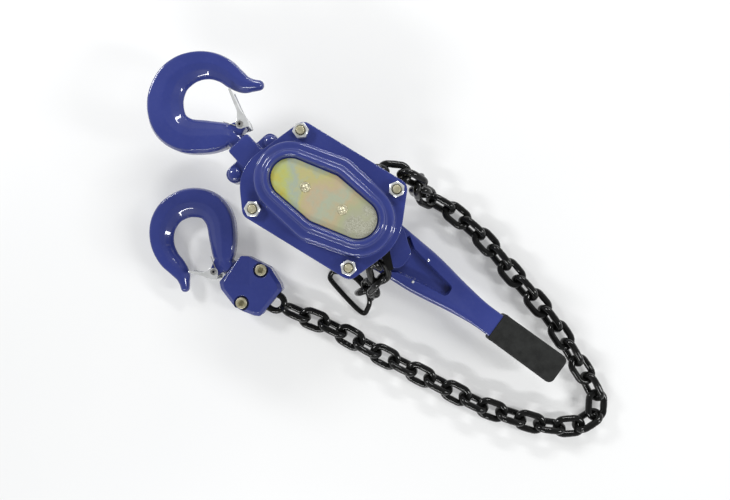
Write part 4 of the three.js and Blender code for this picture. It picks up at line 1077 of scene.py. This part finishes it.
def shell_into(skin, split, top, pocket):
    """Half of the lever, drawn from its parting plane at split to its outer face at top."""
    side = 1 if top > split else -1
    rim = arm_outline(LEVER_EDGE, 6, HUB_R, 72)
    normals = inset(rim, 1)
    rings = [skin.ring(rim, split)]
    for i in range(7):
        turn = math.pi / 2 * i / 6
        level = []
        for point, moved in zip(rim, normals):
            radius = shoulder(point)
            spot = point + (moved - point) * radius * (1 - math.cos(turn))
            level.append(Vector((spot.x, spot.y, top - side * radius * (1 - math.sin(turn)))))
        rings.append(skin.ring(level))
    skin.strips(rings)
    ceiling = top - side * SHEET
    hub = circle(HUB_HOLE_R, steps=64)
    bore = [skin.ring(inset(hub, -0.5), top), skin.ring(hub, top - side * 0.5), skin.ring(hub, ceiling)]
    skin.strips(bore)
    outer_holes = [bore[0]]
    inner_holes = [bore[-1]]
    if pocket:
        for level, grow, holes in ((top, 0, outer_holes), (ceiling, 2.5, inner_holes)):
            foot, floor = ramp_rings(skin, pocket_outline(grow), level, level - side * POCKET_DEPTH, 2.6)
            holes.append(foot)
            skin.fill(floor)
    skin.fill(rings[-1], outer_holes)
    inner = [skin.ring(inset(rim, SHEET + more), z)
             for more, z in ((0, split), (0, (split + ceiling) / 2), (4, ceiling))]
    skin.strips([rings[0], *inner])
    skin.fill(inner[-1], inner_holes)


def make_lever():
    """Two pressed shells that close on a tongue inside the grip, the raised hub plate and two rivets."""
    gap = 0.15
    tongue = rounded([(302, -15.5, 2), (330, -15.5, 2), (330, 15.5, 2), (302, 15.5, 2)])
    skin = Skin()
    shell_into(skin, LEVER_SPLIT + gap, LEVER_TOP, True)
    skin.slab(tongue, 48.2, 54.7)
    make(skin, "lever_inner_pressing", "lever", "pressing", LEVER, ["lever_upper_shell"], LEVER_SHARP)
    skin = Skin()
    shell_into(skin, LEVER_SPLIT - gap, LEVER_BOTTOM, False)
    skin.slab(tongue, 41.3, 47.8)
    make(skin, "lever_outer_pressing", "lever", "pressing", LEVER, ["lever_lower_shell"], LEVER_SHARP)
    skin = Skin()
    plate = arm_outline(BOSS_EDGE, 5, math.hypot(*BOSS_EDGE[0]), 60)
    skin.slab(plate, LEVER_TOP - POCKET_DEPTH - 0.5, BOSS_TOP, 1.3, [circle(HUB_HOLE_R, steps=64)], 4)
    make(skin, "lever_hub_plate", "lever", "pressing", LEVER, sharp=LEVER_SHARP)

    head = soft([(0, LEVER_TOP - 1), (2.0, LEVER_TOP - 1), (2.0, LEVER_TOP + 0.4), (1.5, LEVER_TOP + 0.9),
                 (0, LEVER_TOP + 1.0)], 0.4, 3)
    for i, side in enumerate((-1, 1)):
        skin = Skin()
        skin.turned(head, 28, (165, 19.2 * side))
        make(skin, f"lever_rivet_{i + 1}", "lever", "bright_zinc", LEVER)


def make_grip():
    """Moulded sleeve: a block with soft rims, a little wider at both ends."""
    skin = Skin()
    outline = rounded([(GRIP_START, -GRIP_HALF, 5), (GRIP_START + 9, -GRIP_HALF + 0.7, 8),
                       (GRIP_END, -GRIP_HALF, 9), (GRIP_END, GRIP_HALF, 9),
                       (GRIP_START + 9, GRIP_HALF - 0.7, 8), (GRIP_START, GRIP_HALF, 5)], 8)
    low, high = skin.wall(outline, *GRIP_Z, 3.5, 3.2, 5)
    skin.fill(high)
    skin.fill(low)
    make(skin, "grip_sleeve", "lever", "rubber", LEVER, ["lever_grip"], SHARP_PRESSED)


def make_hand_wheel():
    """Scalloped rim on a dished disc; profile points (radius, z, share) follow the scallops by a share."""
    scallops = 10
    scallop_depth = 2.4
    skin = Skin()
    profile = [(55.5, 2.2, 1), (55.5, 17.6, 1), (54.9, 19.2, 1), (53.2, 20, 1), (48, 20, 0), (46.6, 19.4, 0),
               (44, 14.4, 0), (43, 14, 0), (22, 14, 0), (21, 14.4, 0), (20, 15.2, 0), (19, 16.5, 0),
               (19, 29, 0), (18.4, 29.6, 0), (10.3, 29.6, 0), (10.3, 9, 0), (40.4, 9, 0), (41.2, 8.4, 0),
               (43.6, 0.8, 0), (44.6, 0, 0), (53.2, 0, 1), (54.9, 0.7, 1)]
    rings = []
    for radius, z, follow in profile:
        ring = [spot * (1 + follow * scallop_depth / radius * math.cos(scallops * math.atan2(spot.y, spot.x)))
                for spot in circle(radius, steps=240)]
        rings.append(skin.ring(ring, z))
    skin.strips(rings)
    skin.strip(rings[-1], rings[0])
    make(skin, "hand_wheel_casting", "drive", "casting", nodes=["hand_wheel"], sharp=SHARP_PRESSED)


# ---- hooks

# Stations down the middle of the forging: x, y, width in the hook's plane, thickness.
HOOK_STATIONS = [
    (80, -3, 24, 24), (62, -3, 25, 26), (50, -10, 36, 30), (34, -29, 45, 32), (12, -49.5, 48, 32),
    (-13, -54, 48.5, 32), (-38, -39.5, 47.5, 32), (-52, -16, 44.5, 31), (-53, 6, 42, 31),
    (-46, 25, 38.5, 30), (-33, 40, 35.5, 29), (-16, 49, 33, 28), (1, 52, 30, 26),
    (15, 56.5, 25, 23), (24, 64, 17.5, 19), (29.4, 70.2, 14.5, 15.5),
]

# Half of the section, from the back to the bowl: shares of width and thickness, and the corner's radius.
HOOK_SECTION = [(-0.5, 0.26, 3), (-0.43, 0.5, 3), (-0.02, 0.5, 2), (0.2, 0.38, 8), (0.4, 0.2, 8),
                (0.5, 0.04, 2)]
ALONG_SHANK = Matrix.Translation((0, HOOK_AXIS_Y, 0)) @ Matrix.Rotation(math.pi / 2, 4, "Y")


def hook_section(width, thickness, roundness):
    """The section, flat at the back with a broad slope towards the bowl, or an oval at roundness 1."""
    half = [(u * width, v * thickness, radius) for u, v, radius in HOOK_SECTION]
    points = rounded([(x, -y, radius) for x, y, radius in half] + half[::-1], 4)
    oval = []
    for point in points:
        angle = math.atan2(point.y / thickness, point.x / width)
        oval.append(Vector((width / 2 * math.cos(angle), thickness / 2 * math.sin(angle))))
    return [point.lerp(round_point, roundness) for point, round_point in zip(points, oval)]


def hook_ring(skin, middle, ahead, width, thickness, roundness):
    """The section set square to the forging's middle line."""
    inward = Vector((ahead.y, -ahead.x))
    section = hook_section(width, thickness, roundness)
    return skin.ring([Vector((*(middle + inward * p.x), p.y)) for p in section])


def hook_skin(spread, lean):
    """The forging's solids: the bowl, scaled by spread and leaning forward, the shank and the latch lug."""
    line = []
    for x, y, width, thickness in HOOK_STATIONS:
        aside = y - HOOK_AXIS_Y
        drawn = aside * (spread if aside > 0 else 1)
        line.append(Vector((x + lean * drawn, HOOK_AXIS_Y + drawn, spread * width, thickness)))
    stations = curve_through(line, 8)
    skin = Skin()
    rings = []
    count = len(stations)
    for i, station in enumerate(stations):
        ahead = (stations[min(i + 1, count - 1)].xy - stations[max(i - 1, 0)].xy).normalized()
        share = i / (count - 1)
        roundness = max(0, 1 - share * 9, (share - 0.8) / 0.2)
        rings.append(hook_ring(skin, station.xy, ahead, station[2], station[3], roundness))
    tip = stations[-1]
    for i in range(1, 5):
        turn = math.pi / 2 * i / 5
        size = math.cos(turn)
        middle = tip.xy + ahead * tip[2] / 2 * math.sin(turn)
        rings.append(hook_ring(skin, middle, ahead, tip[2] * size, tip[3] * size, 1))
    skin.strips(rings)
    skin.cap(rings[0])
    skin.cap(rings[-1])

    skin.turned([(0, 52), (SHANK_R - 1, 52), (SHANK_R, 56), (SHANK_R, NECK_X[0]), (0, NECK_X[0])], 48,
                matrix=ALONG_SHANK)
    px, py = LATCH_PIVOT
    skin.slab(rounded([(px - 13, py - 16, 1), (px + 12, py - 16, 1), (px + 6, py + 6, 5.5),
                       (px - 6, py + 6, 5.5)]), -10, 10, 1.5)
    return skin


def trim_neck(piece, matrix):
    """Cuts everything of the forging beyond the shank's shoulder."""
    end = matrix @ Vector((NECK_X[0] - 0.3, 0, 0))
    outward = (matrix.to_3x3() @ Vector((1, 0, 0))).normalized()
    with editing(piece.data) as work:
        cut = bmesh.ops.bisect_plane(work, geom=work.verts[:] + work.edges[:] + work.faces[:],
                                     plane_co=end, plane_no=outward, clear_outer=True)
        rim = [item for item in cut["geom_cut"] if isinstance(item, bmesh.types.BMEdge)]
        bmesh.ops.holes_fill(work, edges=rim, sides=0)
        bmesh.ops.recalc_face_normals(work, faces=work.faces)


def make_hook(prefix, matrix, spread, lean):
    """A forged hook, and the turned neck and collar that swivel in the yoke or the block."""
    name = prefix + "_hook_forging"
    piece = mesh_object(name, skin_mesh(hook_skin(spread, lean), name, matrix))
    forge(piece, FORGING_VOXEL, 9)
    trim_neck(piece, matrix)
    settle(piece, prefix + "_hook", "casting", [prefix + "_hook"], SHARP_ROUNDED)
    start = NECK_X[0] - 0.6
    profile = [(0, start), (NECK_R, start), (NECK_R, COLLAR_X[0]), (COLLAR_R, COLLAR_X[0]),
               (COLLAR_R, COLLAR_X[1]), (NECK_R, COLLAR_X[1]), (NECK_R, NECK_X[1]), (0, NECK_X[1])]
    skin = Skin()
    skin.turned(soft(profile, 0.6), 48, matrix=ALONG_SHANK)
    make(skin, prefix + "_hook_neck", prefix + "_hook", "casting", matrix)


def latch_outline(tip, spots, steps):
    """An outline round spots (distance, aside, radius) on the line from the latch's pin to its tip."""
    pivot = Vector(LATCH_PIVOT)
    ahead = (Vector(tip) - pivot).normalized()
    outward = Vector((ahead.y, -ahead.x))
    corners = []
    for distance, aside, radius in spots:
        corners.append((*(pivot + ahead * distance + outward * aside), radius))
    return rounded(corners, steps)


def make_latch(prefix, matrix, tip):
    """Pressed channel: two cheeks with eyes, joined by a web along their outer edge; its pin and spring."""
    px, py = LATCH_PIVOT
    reach = (Vector(tip) - Vector(LATCH_PIVOT)).length
    cheek = latch_outline(tip, [
        (reach, 1.6, 0.8), (reach, -1.6, 0.8), (18, 1.2, 8), (8.5, -1.8, 4), (4.5, -5.4, 4),
        (-4.5, -5.4, 4), (-6.4, 0, 4), (-6.0, 11.4, 2.0), (3, 11.4, 5), (17, 6.2, 12)], 5)
    crest = [(reach - 0.4, 0.8), (17, 5.4), (3, 10.6), (-5.4, 10.6)]
    web = latch_outline(tip, [(distance, aside - 1.5, 0.5) for distance, aside in crest]
                        + [(distance, aside, 0.5) for distance, aside in crest[::-1]], 2)
    skin = Skin()
    hole = circle(3.5, px, py, 28)
    inner, outer = LATCH_CHEEK_Z
    for z0, z1 in ((-outer, -inner), (inner, outer)):
        skin.slab(cheek, z0, z1, 0.4, [hole], 2)
    skin.slab(web, -16.5, 16.5, 0.3, steps=2)
    make(skin, prefix + "_latch_pressing", prefix + "_latch", "bright_zinc", matrix, [prefix + "_latch"],
         sharp=40)

    skin = Skin()
    skin.turned(soft([(1.9, -18.6), (4.6, -18.6), (4.6, -17.6), (3, -17.6), (3, 17.6), (4.6, 17.6),
                      (4.6, 18.6), (1.9, 18.6), (1.9, -18.6)], 0.3), 32, (px, py))
    make(skin, prefix + "_latch_pin_tube", prefix + "_hook", "steel", matrix, [prefix + "_latch_pin"])

    skin = Skin()
    turns = 3
    steps = 16
    for side in (-1, 1):
        coil = []
        for i in range(turns * steps + 1):
            spot = Vector((px, py)) + polar(SPRING_R, 2 * math.pi * i / steps - math.pi / 2)
            coil.append(Vector((*spot, side * (SPRING_Z + SPRING_LENGTH * i / (turns * steps)))))
        leg = [Vector((px - 19 + 7.5 * k, py - 14.5 + 4.4 * k, side * SPRING_Z)) for k in range(3)]
        skin.tube(leg + coil, SPRING_WIRE_R, sides=8)
    make(skin, prefix + "_latch_spring", prefix + "_hook", "steel", matrix)


def make_yoke():
    """The top yoke's two halves and the domed rivets through them."""
    for half in ("yoke_upper", "yoke_lower"):
        forged_node(half, "top_yoke", FORGING_VOXEL, 7)
    for i, side in enumerate((1, -1)):
        skin = Skin()
        skin.turned([(0, -19), (3, -18.8), (6.2, -17.8), (8.4, -16.2), (9.3, -14.4), (9.4, -13.4), (5, -13.4),
                     (5, 13.4), (9.4, 13.4), (9.3, 14.4), (8.6, 16), (6.8, 17.7), (4, 18.8), (0, 19.2)], 40,
                    (YOKE_RIVET_X, side * YOKE_RIVET_Y))
        make(skin, f"yoke_rivet_head_{i + 1}", "top_yoke", "casting", YOKE, [f"yoke_rivet_{i + 1}"],
             SHARP_PRESSED)


def make_block():
    """The bottom block's two halves and the socket screws that hold them together."""
    for half in ("block_half_upper", "block_half_lower"):
        forged_node(half, "block", 0.6, 2)
    for i, (x, y) in enumerate(BLOCK_SCREWS):
        skin = Skin()
        socket = [Vector((x, y)) + p for p in hexagon(SOCKET_FLATS, 8)]
        low, high = skin.wall(circle(SCREW_HEAD_R, x, y), *SCREW_HEAD_Z, 0.3, 1.0, 4)
        mouth = skin.ring(inset(socket, -0.6), SCREW_HEAD_Z[1])
        lip = skin.ring(socket, SCREW_HEAD_Z[1] - 0.7)
        floor = skin.ring(socket, SOCKET_FLOOR_Z)
        skin.fill(high, [mouth])
        skin.strips([mouth, lip, floor])
        skin.fill(floor)
        skin.fill(low)
        skin.turned([(0, -16), (4.4, -16), (4.4, 11.5), (0, 11.5)], 32, (x, y))
        make(skin, f"socket_screw_{i + 1}", "block", "yellow_zinc", BLOCK, [f"block_screw_{i + 1}"])


# ---- other nodes and the table

# Nodes that keep their CAD shape with softer edges: body, finish, width of the softened edge, nodes.
PLAIN_NODES = [
    ("block", "steel", 0.4, ["chain_anchor_pin"]),
    ("frame", "steel", 0.5, ["top_pin"]),
    ("frame", "chain", 0.6, ["chain_guide"]),
    ("frame", "steel", 0.3, ["pawl_pin_1", "pawl_pin_2", "ratchet_disc", "sheave_bearing_1",
                             "sheave_bearing_2"]),
    ("sheave", "steel", 0.5, ["load_sheave"]),
    ("sheave", "steel", 0.3, ["load_gear"]),
    ("idler_1", "steel", 0.3, ["idler_gear_1"]),
    ("idler_2", "steel", 0.3, ["idler_gear_2"]),
    ("drive", "steel", 0.3, ["pinion_shaft"]),
    ("drive", "steel", 0.4, ["friction_hub"]),
    ("drive", "lining", 0.3, ["friction_disc_1", "friction_disc_2"]),
    ("drive", "steel", 0.3, ["change_gear"]),
    ("selector", "plastic", 0.6, ["selector_knob"]),
    ("selector", "steel", 0.4, ["selector_pawl"]),
    ("pawl_1", "steel", 0.3, ["brake_pawl_1"]),
    ("pawl_2", "steel", 0.3, ["brake_pawl_2"]),
]


def make_floor():
    """A wide pale table top; its faint glow keeps the shadows light."""
    skin = Skin()
    half = 2600
    corners = rounded([(-half, -half, 40), (half, -half, 40), (half, half, 40), (-half, half, 40)], 4)
    skin.slab(corners, -12, -0.05, 2)
    tree = Tree("pale_table")
    cloud = tree.noise(3, detail=3)
    grain = tree.noise(500, detail=3)
    tree.colour(tree.ramp(cloud, [(0.3, (0.590, 0.594, 0.596)), (0.7, (0.606, 0.608, 0.606))]))
    tree.roughness(grain, 0.5, 0.62)
    tree.bump([(grain, 0.02, 0.2)])
    tree.fixed(Emission_Color=(1, 1, 0.99, 1), Emission_Strength=0.25)
    floor = mesh_object("table_top", skin_mesh(skin, "table_top", HOIST))
    floor.data.materials.append(tree.material)


# ---- building

make_floor()
make_load_chain()
make_sheave_chain()
make_tail_chain()
make_end_link()
make_cover()
make_side_plates()
make_stays()
make_brake_cover()
make_lever()
make_grip()
make_hand_wheel()
make_hook("top", TOP_HOOK, 1, 0)
make_hook("bottom", BOTTOM_HOOK, 0.92, 0.08)
make_latch("top", TOP_HOOK, TOP_LATCH_TIP)
make_latch("bottom", BOTTOM_HOOK, BOTTOM_LATCH_TIP)
make_yoke()
make_block()

for body, finish, edge, nodes in PLAIN_NODES:
    for node in nodes:
        refined(node, body, finish, edge)
